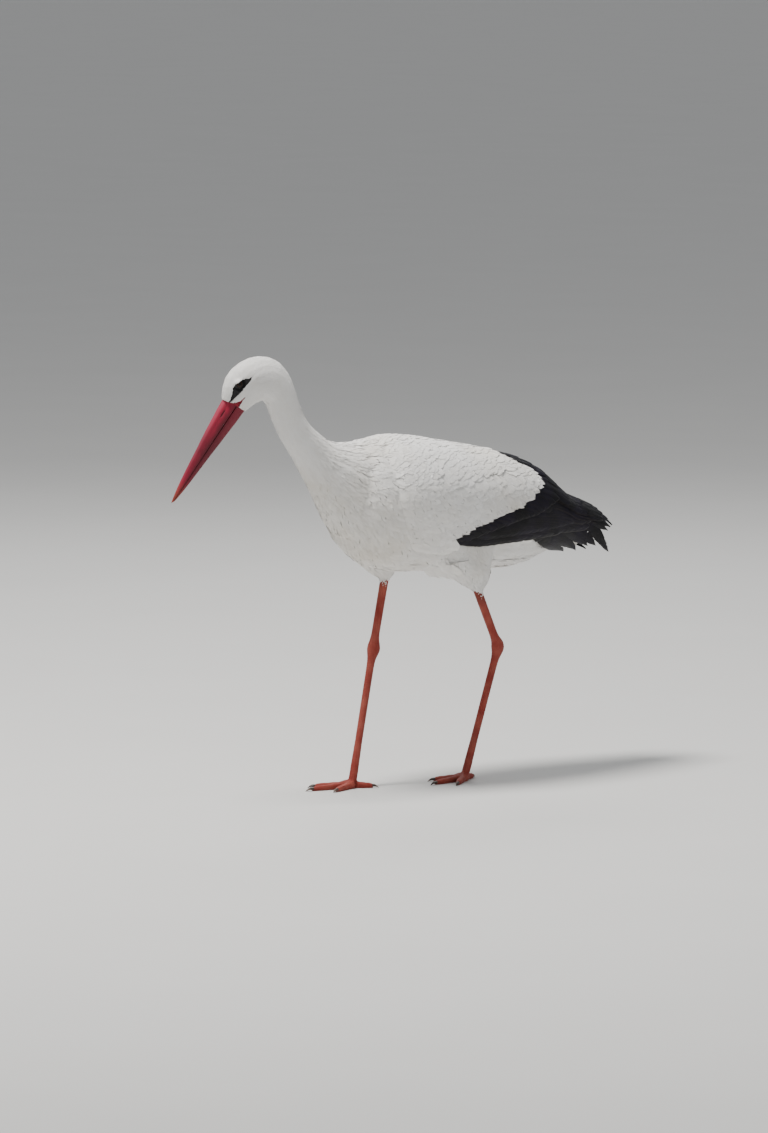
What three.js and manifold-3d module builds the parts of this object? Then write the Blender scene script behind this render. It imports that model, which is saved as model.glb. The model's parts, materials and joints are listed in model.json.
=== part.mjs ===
// A standing white stork, life size, in millimetres.
// The bird faces -Y, its left side is +X, and it stands on the plane z = 0.
// Every solid is a tube of elliptical rings run along a curve, some of them cut by others.
import * as THREE from "three";
import { mergeVertices } from "three/addons/utils/BufferGeometryUtils.js";
import Module from "manifold-3d";

const GAP = 0.6; // clearance between two solids that meet
const MERGE = 0.25; // how far a solid's faces may move when its small faces are joined
const TARSUS_RADIUS = 5.6;
const TIBIA_RADIUS = 6.2;
const EYE_RADIUS = 8.6;
const EYE_STAND_OUT = 2.2; // how far the eyeball stands out of the cheek
const ORIGIN_SHIFT_Y = 65.2; // moves the drawn frame so that z = 0 and the box's middle meet

const wasm = await Module();
wasm.setup();

const up = new THREE.Vector3(0, 0, 1);
const sideways = new THREE.Vector3(1, 0, 0);

/** Points a smooth curve through rows of numbers and reads it at even steps. */
function resample(rows, count) {
  const width = rows[0].length;
  const out = [];
  for (let i = 0; i < count; i++) {
    const at = (i / (count - 1)) * (rows.length - 1);
    const k = Math.min(Math.floor(at), rows.length - 2);
    const t = at - k;
    const [a, b, c, d] = [k - 1, k, k + 1, k + 2].map(
      (j) => rows[Math.max(0, Math.min(rows.length - 1, j))],
    );
    const row = [];
    for (let w = 0; w < width; w++)
      row.push(
        0.5 * (2 * b[w] + (c[w] - a[w]) * t +
          (2 * a[w] - 5 * b[w] + 4 * c[w] - d[w]) * t * t +
          (3 * b[w] - a[w] - 3 * c[w] + d[w]) * t * t * t),
      );
    out.push(row);
  }
  return out;
}

/**
 * A closed tube. Each row is [x, y, z, half width, half height up, half height down].
 * "along" fixes the ring plane's normal; without it a ring faces the curve's direction.
 * "from" and "to" keep only a length of the tube, cut back by half a gap at each cut.
 */
function tube(rows, options = {}) {
  const { rings = 12, sides = 16, grow = 0, along = null, floor = null } = options;
  const { from = 0, to = rings - 1 } = options;
  const line = resample(rows, rings);
  const centres = line.map((r) => new THREE.Vector3(r[0], r[1], r[2]));
  const points = [];
  for (let i = from; i <= to; i++) {
    const ahead = centres[Math.min(i + 1, rings - 1)];
    const behind = centres[Math.max(i - 1, 0)];
    const run = ahead.clone().sub(behind).normalize();
    const sense = along && run.dot(along) < 0 ? -1 : 1;
    if (along) run.copy(along).multiplyScalar(sense);
    const across = Math.abs(run.x) > 0.9 ? up.clone().cross(run) : sideways.clone();
    const lift = run.clone().cross(across).normalize();
    if (lift.z < 0) lift.negate();
    across.crossVectors(lift, run).normalize();
    if (across.x < 0) across.negate();
    const [, , , half, rise, drop] = line[i];
    const cut = (i === from && from > 0) || (i === to && to < rings - 1);
    const inward = i === from ? -1 : i === to ? 1 : 0;
    const shift = inward * (cut ? -GAP / 2 : grow);
    for (let s = 0; s < sides; s++) {
      const a = (s / sides) * Math.PI * 2;
      const tall = Math.sin(a) > 0 ? rise : drop;
      const p = centres[i]
        .clone()
        .addScaledVector(across, Math.cos(a) * (half + grow))
        .addScaledVector(lift, Math.sin(a) * (tall + grow))
        .addScaledVector(run, shift);
      if (floor !== null) p.z = Math.max(p.z, floor);
      points.push(p.x, p.y, p.z);
    }
  }
  const last = to - from;
  const faces = [];
  for (let i = 0; i < last; i++)
    for (let s = 0; s < sides; s++) {
      const a = i * sides + s;
      const b = i * sides + ((s + 1) % sides);
      faces.push(a, b, b + sides, a, b + sides, a + sides);
    }
  for (let s = 1; s < sides - 1; s++) {
    faces.push(0, s + 1, s);
    faces.push(last * sides, last * sides + s, last * sides + s + 1);
  }
  return solid(points, faces);
}

/** Turns corner and face lists into a solid with its faces out. */
function solid(points, faces) {
  const g = new THREE.BufferGeometry();
  g.setAttribute("position", new THREE.Float32BufferAttribute(points, 3));
  g.setIndex(faces);
  const merged = mergeVertices(g, 1e-3);
  const tri = [];
  const src = merged.index.array;
  for (let i = 0; i < src.length; i += 3)
    if (src[i] !== src[i + 1] && src[i + 1] !== src[i + 2] && src[i] !== src[i + 2])
      tri.push(src[i], src[i + 1], src[i + 2]);
  const make = (t) =>
    new wasm.Manifold(
      new wasm.Mesh({
        numProp: 3,
        vertProperties: new Float32Array(merged.attributes.position.array),
        triVerts: new Uint32Array(t),
      }),
    );
  const first = make(tri);
  if (first.volume() > 0) return first;
  const turned = [];
  for (let i = 0; i < tri.length; i += 3) turned.push(tri[i], tri[i + 2], tri[i + 1]);
  return make(turned);
}

/** A slab cut to an outline of [y, z] corners, from one x to another. */
function sideSlab(outline, x0, x1) {
  const shape = new THREE.Shape(outline.map(([y, z]) => new THREE.Vector2(y, z)));
  const g = new THREE.ExtrudeGeometry(shape, { depth: x1 - x0, bevelEnabled: false });
  g.deleteAttribute("normal");
  g.deleteAttribute("uv");
  const flat = mergeVertices(g, 1e-3);
  const p = flat.attributes.position.array;
  const points = [];
  for (let i = 0; i < p.length; i += 3) points.push(p[i + 2] + x0, p[i], p[i + 1]);
  return solid(points, [...flat.index.array]);
}

/** A thin wall that follows a line of [y, z] corners, to part two pieces by one gap. */
function partingWall(line, x0, x1) {
  const side = (sign) =>
    line.map(([y, z], i) => {
      const [ay, az] = line[Math.max(0, i - 1)];
      const [by, bz] = line[Math.min(line.length - 1, i + 1)];
      const size = Math.hypot(by - ay, bz - az);
      const off = (sign * GAP) / 2;
      return [y - ((bz - az) / size) * off, z + ((by - ay) / size) * off];
    });
  return sideSlab([...side(1), ...side(-1).reverse()], x0, x1);
}

/** The same solid on the other side of the bird's middle plane. */
function mirrored(made) {
  return made.mirror([1, 0, 0]);
}

/** The largest body of a solid that a cut has left in more than one. */
function largest(made) {
  return made.decompose().sort((a, b) => b.volume() - a.volume())[0];
}

const group = new THREE.Group();
group.name = "white_stork";

/** Adds a solid to the part as a named mesh. */
function add(name, made, colour, roughness) {
  const neat = largest(made.simplify(MERGE));
  const mesh = neat.getMesh();
  const g = new THREE.BufferGeometry();
  g.setAttribute("position", new THREE.Float32BufferAttribute(mesh.vertProperties, 3));
  g.setIndex([...mesh.triVerts]);
  const node = new THREE.Mesh(
    g.toNonIndexed(),
    new THREE.MeshStandardMaterial({ color: colour, roughness }),
  );
  node.geometry.computeVertexNormals();
  node.name = name;
  node.position.y = ORIGIN_SHIFT_Y;
  group.add(node);
}

const WHITE = 0xe9e6dc;
const BLACK = 0x15151a;
const RED = 0xb0302a;
const LEG_RED = 0xa8443c;
const HORN = 0x4a3430;
const IRIS = 0x1a100c;

// ---- Head, bill and neck -------------------------------------------------------------
// One line of rings from the crop to the feather edge at the bill, split into lengths.
const NECK_LINE = [
  [0.0, -160.0, 478.0, 66.0, 88.0, 84.0],
  [0.0, -186.0, 494.0, 58.0, 76.0, 74.0],
  [0.0, -212.0, 510.0, 48.0, 56.0, 60.0],
  [-0.2, -236.0, 525.0, 38.0, 41.0, 46.0],
  [-0.9, -258.0, 542.0, 30.5, 31.5, 35.0],
  [-2.2, -279.5, 563.4, 27.0, 27.0, 29.0],
  [-3.2, -291.0, 576.1, 25.4, 25.0, 27.0],
  [-4.4, -302.8, 593.0, 24.6, 24.4, 26.0],
  [-6.0, -313.6, 615.7, 24.2, 24.8, 26.0],
  [-7.6, -320.9, 636.3, 24.4, 24.5, 27.5],
  [-9.8, -330.3, 652.9, 25.0, 29.0, 31.0],
  [-12.9, -342.4, 663.1, 26.2, 33.8, 34.0],
  [-16.9, -356.3, 665.8, 26.8, 35.6, 35.6],
  [-21.5, -371.0, 661.9, 26.6, 35.8, 35.0],
  [-25.5, -383.5, 652.4, 24.6, 35.6, 34.4],
  [-28.0, -392.0, 639.8, 20.8, 30.8, 30.4],
  [-30.5, -399.2, 625.5, 16.0, 22.6, 22.0],
];
const NECK_RINGS = 29;
const LOWER_CUT = 10; // the ring where the lower neck ends
const HEAD_CUT = 18; // the ring where the head starts
const BILL_BASE = new THREE.Vector3(-30.5, -399.2, 625.5);
const BILL_TIP = new THREE.Vector3(-62.8, -498.0, 476.8);

/** A row of a bill half, at "t" along the bill, moved "offset" off the bill's axis. */
function billRow([t, half, rise, drop, offset]) {
  const run = BILL_TIP.clone().sub(BILL_BASE);
  const lift = run.clone().normalize().cross(sideways).normalize();
  if (lift.z < 0) lift.negate();
  const p = BILL_BASE.clone().addScaledVector(run, t).addScaledVector(lift, offset);
  return [p.x, p.y, p.z, half, rise, drop];
}

const UPPER_HALF = [
  // share of the length, half width, half height up, half height down, off the axis
  [-0.05, 12.6, 19.4, 2.4, 1.2],
  [0.1, 11.2, 18.4, 2.0, 1.0],
  [0.3, 9.0, 15.9, 1.8, 0.9],
  [0.55, 6.8, 11.6, 1.5, 0.7],
  [0.8, 4.4, 7.0, 1.1, 0.6],
  [0.95, 2.2, 2.8, 0.8, 0.5],
  [1.0, 1.0, 1.2, 0.6, 0.4],
].map(billRow);
const LOWER_HALF = [
  [-0.05, 12.0, 0.8, 18.4, -1.6],
  [0.1, 10.6, 0.8, 17.0, -1.4],
  [0.3, 8.4, 0.8, 13.8, -1.2],
  [0.55, 6.1, 0.8, 9.6, -1.0],
  [0.8, 3.9, 0.7, 5.6, -0.9],
  [0.94, 2.0, 0.6, 2.4, -0.8],
  [0.985, 0.9, 0.4, 1.1, -0.7],
].map(billRow);

/** An eyeball about a point. */
function ball(at, radius) {
  const rows = [0.03, 0.15, 0.35, 0.65, 1.0, 1.35, 1.65, 1.85, 1.97].map((k) => {
    const r = radius * Math.sqrt(1 - (k - 1) ** 2);
    return [at.x + (k - 1) * radius, at.y, at.z, r, r, r];
  });
  return tube(rows, { rings: 9, sides: 12, along: sideways });
}

const HEAD_TURN = 0.3; // radians to the bird's right
const EYE_MIDDLE = new THREE.Vector3(-26.5, -400.1, 660.4); // between the two eyes
const HEAD_HALF = 20.6; // half the head's width at the eyes
const headLeft = new THREE.Vector3(Math.cos(HEAD_TURN), -Math.sin(HEAD_TURN), 0);
const eyeReach = HEAD_HALF + EYE_STAND_OUT - EYE_RADIUS;
const [leftEye, rightEye] = [1, -1].map((side) =>
  EYE_MIDDLE.clone().addScaledVector(headLeft, side * eyeReach),
);
const neckPiece = (from, to, sides) =>
  tube(NECK_LINE, { rings: NECK_RINGS, sides, from, to });
const headSolid = neckPiece(HEAD_CUT, NECK_RINGS - 1, 18);
const grownHead = tube(NECK_LINE, { rings: NECK_RINGS, sides: 18, from: 19, grow: GAP });
const head = headSolid
  .subtract(ball(leftEye, EYE_RADIUS + GAP))
  .subtract(ball(rightEye, EYE_RADIUS + GAP));
const billUpper = tube(UPPER_HALF, { rings: 12, sides: 12 });
const billLower = tube(LOWER_HALF, { rings: 11, sides: 12 }).subtract(
  tube(UPPER_HALF, { rings: 12, sides: 12, grow: GAP }),
);

// ---- Trunk ---------------------------------------------------------------------------
/** Turns a row of [y, half width, top, widest, bottom] heights into a ring's row. */
const bodyRow = ([y, half, top, wide, bottom]) => [0, y, wide, half, top - wide, wide - bottom];
const TRUNK_LINE = [
  [-214, 12, 478, 462, 446],
  [-208, 36, 505, 462, 424],
  [-194, 58, 538, 460, 398],
  [-172, 74, 557, 458, 374],
  [-144, 84, 562, 456, 357],
  [-110, 88, 561, 455, 348],
  [-70, 88, 557, 454, 344],
  [-20, 87, 549, 452, 342],
  [30, 85, 539, 448, 340],
  [80, 80, 526, 444, 338],
  [125, 73, 510, 440, 337],
  [165, 64, 490, 434, 338],
  [200, 54, 468, 425, 345],
  [235, 42, 446, 414, 357],
  [265, 30, 428, 403, 368],
  [285, 16, 412, 396, 378],
].map(bodyRow);
const alongBody = new THREE.Vector3(0, 1, 0);
const trunkTube = (grow) =>
  tube(TRUNK_LINE, { rings: 19, sides: 22, along: alongBody, grow });
const trunkWhole = trunkTube(0);
const trunkGrown = trunkTube(GAP);

// ---- Wings ---------------------------------------------------------------------------
// The outside of both folded wings as one tube; the trunk and a hollow are cut from it.
const WING_OUTSIDE = [
  [-160, 60, 548, 470, 410],
  [-152, 78, 556, 468, 396],
  [-134, 91, 561, 466, 372],
  [-104, 98, 565, 463, 352],
  [-60, 100, 562, 460, 340],
  [0, 99, 552, 457, 336],
  [50, 97, 542, 452, 334],
  [100, 92, 533, 447, 334],
  [150, 84, 519, 441, 336],
  [196, 76, 500, 433, 340],
  [230, 69, 474, 424, 344],
  [260, 62, 453, 413, 346],
  [300, 55, 439, 402, 340],
  [340, 46, 422, 388, 332],
  [369, 36, 402, 372, 326],
].map(bodyRow);
const WING_HOLLOW = [
  [140, 40, 440, 420, 200],
  [200, 62, 484, 420, 200],
  [230, 57, 460, 414, 200],
  [260, 51, 440, 404, 200],
  [300, 45, 422, 392, 200],
  [340, 37, 410, 378, 200],
  [380, 28, 392, 366, 200],
].map(bodyRow);
const WING_PARTING = [
  [312, 0.5, 520, 420, 300],
  [345, 12, 520, 420, 300],
  [380, 26, 520, 420, 300],
].map(bodyRow); // the wing tips stand apart behind here
const MID_GAP = 0.3; // half the gap between the two folded wings
const OUT = 130; // farther out than any wing

// Lines and outlines in side view, as [y, z].
const SHOULDER_EDGE = [[-190, 470], [-160, 470], [-150, 425], [-120, 400], [-86, 391], [-34, 386]];
// The edge of the white coverts over the black flight feathers.
const RAGGED_EDGE = [
  [-36, 380], [-32, 392], [-12, 406], [32, 420], [77, 435], [125, 444], [171, 473], [181, 481],
];
const SCAPULAR_EDGE = [[181, 481], [175, 489], [144, 504], [116, 515], [110, 532], [104, 600]];
const TERTIAL_EDGE = [[181, 481], [215, 462], [262, 436], [306, 411], [330, 440]];
const PRIMARY_EDGE = [[205, 372], [222, 400], [262, 424], [284, 423.7]];
const WING_UNDER = [[-34, 386], [29, 381], [144, 380], [212, 386], [256, 384]];
const WING_TIPS = [
  [300, 370], [335, 354], [367, 347], [350, 363], [348, 368], [357, 373], [344, 386], [369, 394],
];

const wingTube = tube(WING_OUTSIDE, { rings: 19, sides: 26, along: alongBody });
const hollow = tube(WING_HOLLOW, { rings: 10, sides: 20, along: alongBody });
const wingOutline = [
  ...SHOULDER_EDGE, ...WING_UNDER.slice(1), ...WING_TIPS, [372, 600], [-190, 600],
];
const wingWhole = wingTube
  .subtract(trunkGrown)
  .subtract(hollow)
  .subtract(tube(WING_PARTING, { rings: 4, sides: 8, along: alongBody }))
  .intersect(sideSlab(wingOutline, MID_GAP, OUT))
  .subtract(partingWall(RAGGED_EDGE, 0, OUT))
  .subtract(partingWall(SCAPULAR_EDGE, 0, OUT))
  .subtract(partingWall(TERTIAL_EDGE, 0, OUT))
  .subtract(partingWall(PRIMARY_EDGE, 0, OUT));
const wingPiece = (outline) => wingWhole.intersect(sideSlab(outline, 0, OUT));
const wingPieces = {
  coverts: wingPiece([[-190, 380], ...RAGGED_EDGE, ...SCAPULAR_EDGE, [-190, 600]]),
  tertials: wingPiece([...TERTIAL_EDGE, [330, 600], ...SCAPULAR_EDGE.slice().reverse()]),
  flight: wingPiece([
    ...RAGGED_EDGE, ...TERTIAL_EDGE.slice(0, 3), ...PRIMARY_EDGE.slice(0, 3).reverse(),
  ]),
  primaries: wingPiece([
    ...PRIMARY_EDGE.slice(0, 3), [306, 411], [330, 440], [380, 440], [380, 300], [205, 300],
  ]),
};

// ---- Tail ----------------------------------------------------------------------------
const TAIL_LINE = [
  [0, 236, 406, 30, 7, 10],
  [0, 262, 400, 35, 6, 8],
  [0, 290, 388, 36, 4, 5],
  [0, 315, 374, 35, 2.5, 3],
  [0, 330, 366, 32, 1.5, 1.8],
  [0, 338, 361, 22, 0.8, 1],
];
const tail = tube(TAIL_LINE, { rings: 8, sides: 18, along: alongBody }).subtract(trunkGrown);

// ---- Legs ----------------------------------------------------------------------------
const THIGH_SHAPE = [
  // height above the feather edge, half width across, half length fore and aft, forward shift
  [52, 32, 56, 26],
  [40, 30, 52, 22],
  [28, 25, 42, 15],
  [13, 16, 27, 7],
  [3, 9.5, 13, 1],
  [0, 8, 9, 0],
];
const FRONT_TOE_SHAPE = [
  // share of the reach, half width, half height, height of the middle; wide at the web
  [0.0, 9.0, 9.5, 6.5],
  [0.22, 7.6, 6.6, 6.2],
  [0.36, 4.8, 4.4, 5.6],
  [0.5, 5.6, 4.7, 5.2],
  [0.64, 4.6, 4.0, 4.8],
  [0.78, 5.2, 4.2, 4.4],
  [0.92, 4.2, 3.4, 3.9],
  [1.0, 2.4, 2.2, 3.4],
];
const HIND_TOE_SHAPE = [[0.0, 6.0, 5.0, 6.5], [0.22, 5.0, 5.0, 6.2], ...FRONT_TOE_SHAPE.slice(2)];
const TOES = [
  // name, angle towards the bird's outer side, reach of the flesh, claw length
  ["middle", 0.06, 74, 11],
  ["inner", -0.5, 54, 9],
  ["outer", 0.56, 62, 9],
  ["hind", Math.PI + 0.45, 33, 8],
];

// A toe's depth below its middle line, over that line's height: the floor then cuts a flat sole.
const SOLE_DROP = 1.46;

/** A leg from the trunk to the toes, from the places of its joints. */
function leg(side, { edge, ankle, foot, turn }) {
  const [ex, ey, ez] = edge;
  const [ax, ay, az] = ankle;
  const [fx, fy, fz] = foot;
  const thighRows = THIGH_SHAPE.map(([h, across, along, forward]) => [
    ex - Math.sign(ex) * h * 0.1, ey - forward, ez + h, across, along, along,
  ]);
  const thigh = tube(thighRows, { rings: 9, sides: 18, along: up }).subtract(trunkGrown);
  const mix = (a, b, t) => a + (b - a) * t;
  const shaft = (a, b, t, wide, deep) =>
    [mix(a[0], b[0], t), mix(a[1], b[1], t), mix(a[2], b[2], t), wide, deep, deep];
  const tibiaTop = [mix(ex, ax, -0.05), mix(ey, ay, -0.05), mix(ez, az, -0.05)];
  const tibiaRows = [[0, 1.05], [0.3, 1], [0.65, 0.92], [0.9, 1.1], [1, 1.2]].map(([t, k]) =>
    shaft(tibiaTop, ankle, t, TIBIA_RADIUS * k, TIBIA_RADIUS * k * 1.08));
  const ankleRows = [
    [-12, 7], [-10, 8.6], [-4, 10.4], [3, 10.6], [9, 9], [13, 7],
  ].map(([h, r]) => [ax, ay + h * (h > 0 ? -0.38 : 0.28), az + h, r * 0.92, r, r]);
  const ankleTube = (grow) => tube(ankleRows, { rings: 7, sides: 12, along: up, grow });
  const tarsusRows = [
    [0, 1.35], [0.07, 1.1], [0.25, 0.95], [0.6, 0.9], [0.86, 1.0], [0.95, 1.45], [1, 1.5],
  ].map(([t, k]) => shaft(ankle, foot, t, TARSUS_RADIUS * k, TARSUS_RADIUS * k * 1.05));
  const tarsusTube = (grow) => tube(tarsusRows, { rings: 9, sides: 12, grow, floor: 0.9 });
  const ankleGrown = ankleTube(GAP);
  const thighGrown = tube(thighRows, { rings: 9, sides: 18, along: up, grow: GAP });
  add(`thigh_${side}`, thigh, WHITE, 0.85);
  add(`tibia_${side}`, tube(tibiaRows, { rings: 6, sides: 12 }).subtract(thighGrown)
    .subtract(ankleGrown), LEG_RED, 0.6);
  add(`ankle_${side}`, ankleTube(0), LEG_RED, 0.6);
  add(`tarsus_${side}`, tarsusTube(0).subtract(ankleGrown), LEG_RED, 0.6);

  let taken = tarsusTube(GAP);
  for (const [name, angle, reach, claw] of TOES) {
    const a = turn + Math.sign(ex) * angle;
    const away = new THREE.Vector3(Math.sin(a), -Math.cos(a), 0);
    const at = (s) => [fx + away.x * s, fy + away.y * s];
    const shape = name === "hind" ? HIND_TOE_SHAPE : FRONT_TOE_SHAPE;
    const rows = shape.map(([t, half, tall, mid]) =>
      [...at(t * reach), mid, half, tall, mid * SOLE_DROP]);
    const toeTube = (grow) => tube(rows, { rings: 8, sides: 8, along: away, grow, floor: 0 });
    const clawRows = [
      // past the toe's end, half width, half height, height of the middle, depth below it
      [-5, 3.0, 2.6, 3.2, 2],
      [1, 2.9, 2.5, 3.0, 2],
      [claw * 0.6, 2.2, 1.9, 2.3, 4],
      [claw, 0.9, 0.8, 1.7, 4],
    ].map(([s, half, tall, mid, drop]) => [...at(reach + s), mid, half, tall, drop]);
    const nail = tube(clawRows, { rings: 4, sides: 7, along: away, floor: 0 });
    add(`toe_${name}_${side}`, toeTube(0).subtract(taken), LEG_RED, 0.6);
    add(`claw_${name}_${side}`, nail.subtract(toeTube(GAP)), HORN, 0.4);
    taken = taken.add(toeTube(GAP));
  }
}

add("head", head, WHITE, 0.8);
add("eye_left", ball(leftEye, EYE_RADIUS), IRIS, 0.1);
add("eye_right", ball(rightEye, EYE_RADIUS), IRIS, 0.1);
add("bill_upper", billUpper.subtract(grownHead), RED, 0.4);
add("bill_lower", billLower.subtract(grownHead), RED, 0.4);
add("neck_upper", neckPiece(LOWER_CUT, HEAD_CUT, 16), WHITE, 0.85);
add("neck_lower", neckPiece(0, LOWER_CUT, 16).subtract(trunkGrown), WHITE, 0.85);
add("trunk", trunkWhole, WHITE, 0.85);
add("tail", tail, WHITE, 0.85);
for (const [name, made] of Object.entries(wingPieces)) {
  const colour = name === "coverts" ? WHITE : BLACK;
  add(`wing_${name}_left`, made, colour, 0.7);
  add(`wing_${name}_right`, mirrored(made), colour, 0.7);
}
leg("left", { edge: [47, 49, 309], ankle: [43, 98, 214], foot: [23, 46, 13], turn: 0.05 });
leg("right", { edge: [-47, -66, 329], ankle: [-46, -92, 218], foot: [-28, -152, 13], turn: -0.16 });

export default group;
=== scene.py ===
"""A life-size white stork: one skin, solid feathers, bill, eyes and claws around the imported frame.

Everything is in metres in the frame's axes: the bird faces -Y, its left side is +X and it stands
on Z = 0. Tables of shape are in millimetres, with Y counted from the station that the wing is
drawn from; STATION_SHIFT brings them into the frame.
"""

import json
import logging
import math
from dataclasses import dataclass, field
from enum import Enum
from typing import Callable, Iterable, Optional, Sequence, Union

import bmesh
import bpy
import numpy as np
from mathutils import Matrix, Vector
from mathutils.bvhtree import BVHTree
from mathutils.kdtree import KDTree

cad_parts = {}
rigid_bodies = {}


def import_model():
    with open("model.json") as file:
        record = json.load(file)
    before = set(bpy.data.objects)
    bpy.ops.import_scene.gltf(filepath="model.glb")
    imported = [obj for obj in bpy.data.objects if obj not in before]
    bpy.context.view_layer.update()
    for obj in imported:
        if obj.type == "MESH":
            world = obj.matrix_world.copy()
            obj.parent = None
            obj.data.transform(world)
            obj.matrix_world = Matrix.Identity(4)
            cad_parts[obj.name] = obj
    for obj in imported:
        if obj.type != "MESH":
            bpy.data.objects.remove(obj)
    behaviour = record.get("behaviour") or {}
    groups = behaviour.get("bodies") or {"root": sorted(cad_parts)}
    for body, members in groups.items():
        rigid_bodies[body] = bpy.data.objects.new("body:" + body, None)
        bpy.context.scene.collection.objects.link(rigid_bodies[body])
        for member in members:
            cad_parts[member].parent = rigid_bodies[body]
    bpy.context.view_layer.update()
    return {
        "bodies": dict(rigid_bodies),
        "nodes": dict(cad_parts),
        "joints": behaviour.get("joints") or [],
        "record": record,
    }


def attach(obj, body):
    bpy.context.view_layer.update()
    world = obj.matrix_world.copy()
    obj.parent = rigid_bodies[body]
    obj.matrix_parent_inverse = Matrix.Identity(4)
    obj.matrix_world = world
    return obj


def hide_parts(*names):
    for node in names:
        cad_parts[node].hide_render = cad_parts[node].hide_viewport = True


Array = np.ndarray
Number = Union[float, np.ndarray]
Material = bpy.types.Material
Piece = bpy.types.Object
Random = np.random.Generator
Rows = Sequence[Sequence[float]]
Colour = tuple[float, float, float]

LOG = logging.getLogger("stork")
MM = 0.001
STATION_SHIFT = 65.2
BODY = "root"
SIDES = {"left": 1, "right": -1}
SKIN_NUMBERS = ("bare", "gape", "leg", "black")


# ---- Numbers and curves ----


def unit(v: Array) -> Array:
    """Vectors of length one, along the last axis."""
    return v / np.maximum(np.linalg.norm(v, axis=-1, keepdims=True), 1e-12)


def ease(x: Array, low: float, high: float) -> Array:
    """A smooth rise from 0 at low to 1 at high."""
    t = np.clip((np.asarray(x, float) - low) / (high - low), 0, 1)
    return t * t * (3 - 2 * t)


def ripple(points: Array, size: float, seed: int) -> Array:
    """Smooth wandering values between about -1 and 1.

    Args:
        points: Places, in metres, as rows.
        size: The size of one wave, in metres.
        seed: Chooses the pattern.

    Returns:
        One value for each place.
    """
    rng = np.random.default_rng(seed)
    total = np.zeros(len(points))
    for _ in range(6):
        heading = unit(rng.normal(size=3)) * (2 * math.pi / size) * rng.uniform(0.7, 1.5)
        total += np.sin(points @ heading + rng.uniform(0, 2 * math.pi))
    return total / 3.0


def folds(points: Array, depth: float, seed: int) -> Array:
    """Soft creases in the plumage that run fore and aft: heights in metres, none above zero."""
    wave = ripple(points * (1.0, 0.3, 1.0), 0.06, seed)
    return -depth * np.exp(-((wave / 0.22) ** 2)) + 0.3 * depth * ripple(points, 0.09, seed + 9)


class Course:
    """Stations joined by smooth curves that never overshoot."""

    def __init__(self, rows: Rows) -> None:
        """Takes rows whose first number is the station and whose rest are the values there.

        Args:
            rows: Each row's first number is the station and the rest are the values there.
        """
        data = np.asarray(rows, float)
        self.x, self.y = data[:, 0], data[:, 1:]
        step = np.diff(self.x)[:, None]
        rise = np.diff(self.y, axis=0) / step
        self.slope = np.zeros_like(self.y)
        before, after = rise[:-1], rise[1:]
        level = before * after <= 0
        mean = 2 * before * after / np.where(level, 1, before + after)
        self.slope[1:-1] = np.where(level, 0, mean)
        self.slope[0], self.slope[-1] = rise[0], rise[-1]

    def at(self, x: Number) -> Array:
        """The values at one or more stations.

        Args:
            x: Stations; past the ends they take the end's values.

        Returns:
            Values, with one more axis than x.
        """
        x = np.clip(np.asarray(x, float), self.x[0], self.x[-1])
        k = np.clip(np.searchsorted(self.x, x, side="right") - 1, 0, len(self.x) - 2)
        step = (self.x[k + 1] - self.x[k])[..., None]
        t = (x - self.x[k])[..., None] / step
        a, b = self.y[k], self.y[k + 1]
        ma, mb = self.slope[k] * step, self.slope[k + 1] * step
        return (
            (2 * t**3 - 3 * t**2 + 1) * a
            + (t**3 - 2 * t**2 + t) * ma
            + (3 * t**2 - 2 * t**3) * b
            + (t**3 - t**2) * mb
        )


def place(rows: Rows) -> Array:
    """Points given in millimetres from the station, as metres in the frame."""
    return (np.asarray(rows, float) + (0, STATION_SHIFT, 0)) * MM


def station(points: Array) -> Array:
    """How far behind the station some points of the frame are, in millimetres."""
    return points[..., 1] / MM - STATION_SHIFT


def table_at(x: Array, rows: Rows, column: int = 1) -> Array:
    """One column of a table, read at places between the values of its first column."""
    table = np.asarray(rows, float)
    return np.interp(x, table[:, 0], table[:, column])


def full_turn(count: int) -> Array:
    """Even angles all the way round."""
    return np.linspace(0, 2 * math.pi, count, endpoint=False)


def run_length(points: Array) -> Array:
    """How far along a line each of its points is."""
    return np.concatenate([[0], np.cumsum(np.linalg.norm(np.diff(points, axis=0), axis=1))])


def headings_of(slope: Array) -> Array:
    """Headings seen from the side, as steps back and up."""
    return np.column_stack([np.cos(slope), np.sin(slope)])


def flattened(way: Array, normals: Array) -> Array:
    """Headings turned until they run along the surface."""
    return unit(way - normals * (way * normals).sum(1, keepdims=True))


def rising(root: Array, tip: Array, rings: int) -> Array:
    """Heights of middle lines that rise from the roots' depth to the tips' height."""
    t = np.linspace(0, 1, rings + 1)[None]
    return -root * (1 - t) ** 1.15 + tip * t


# ---- Meshes ----


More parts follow.
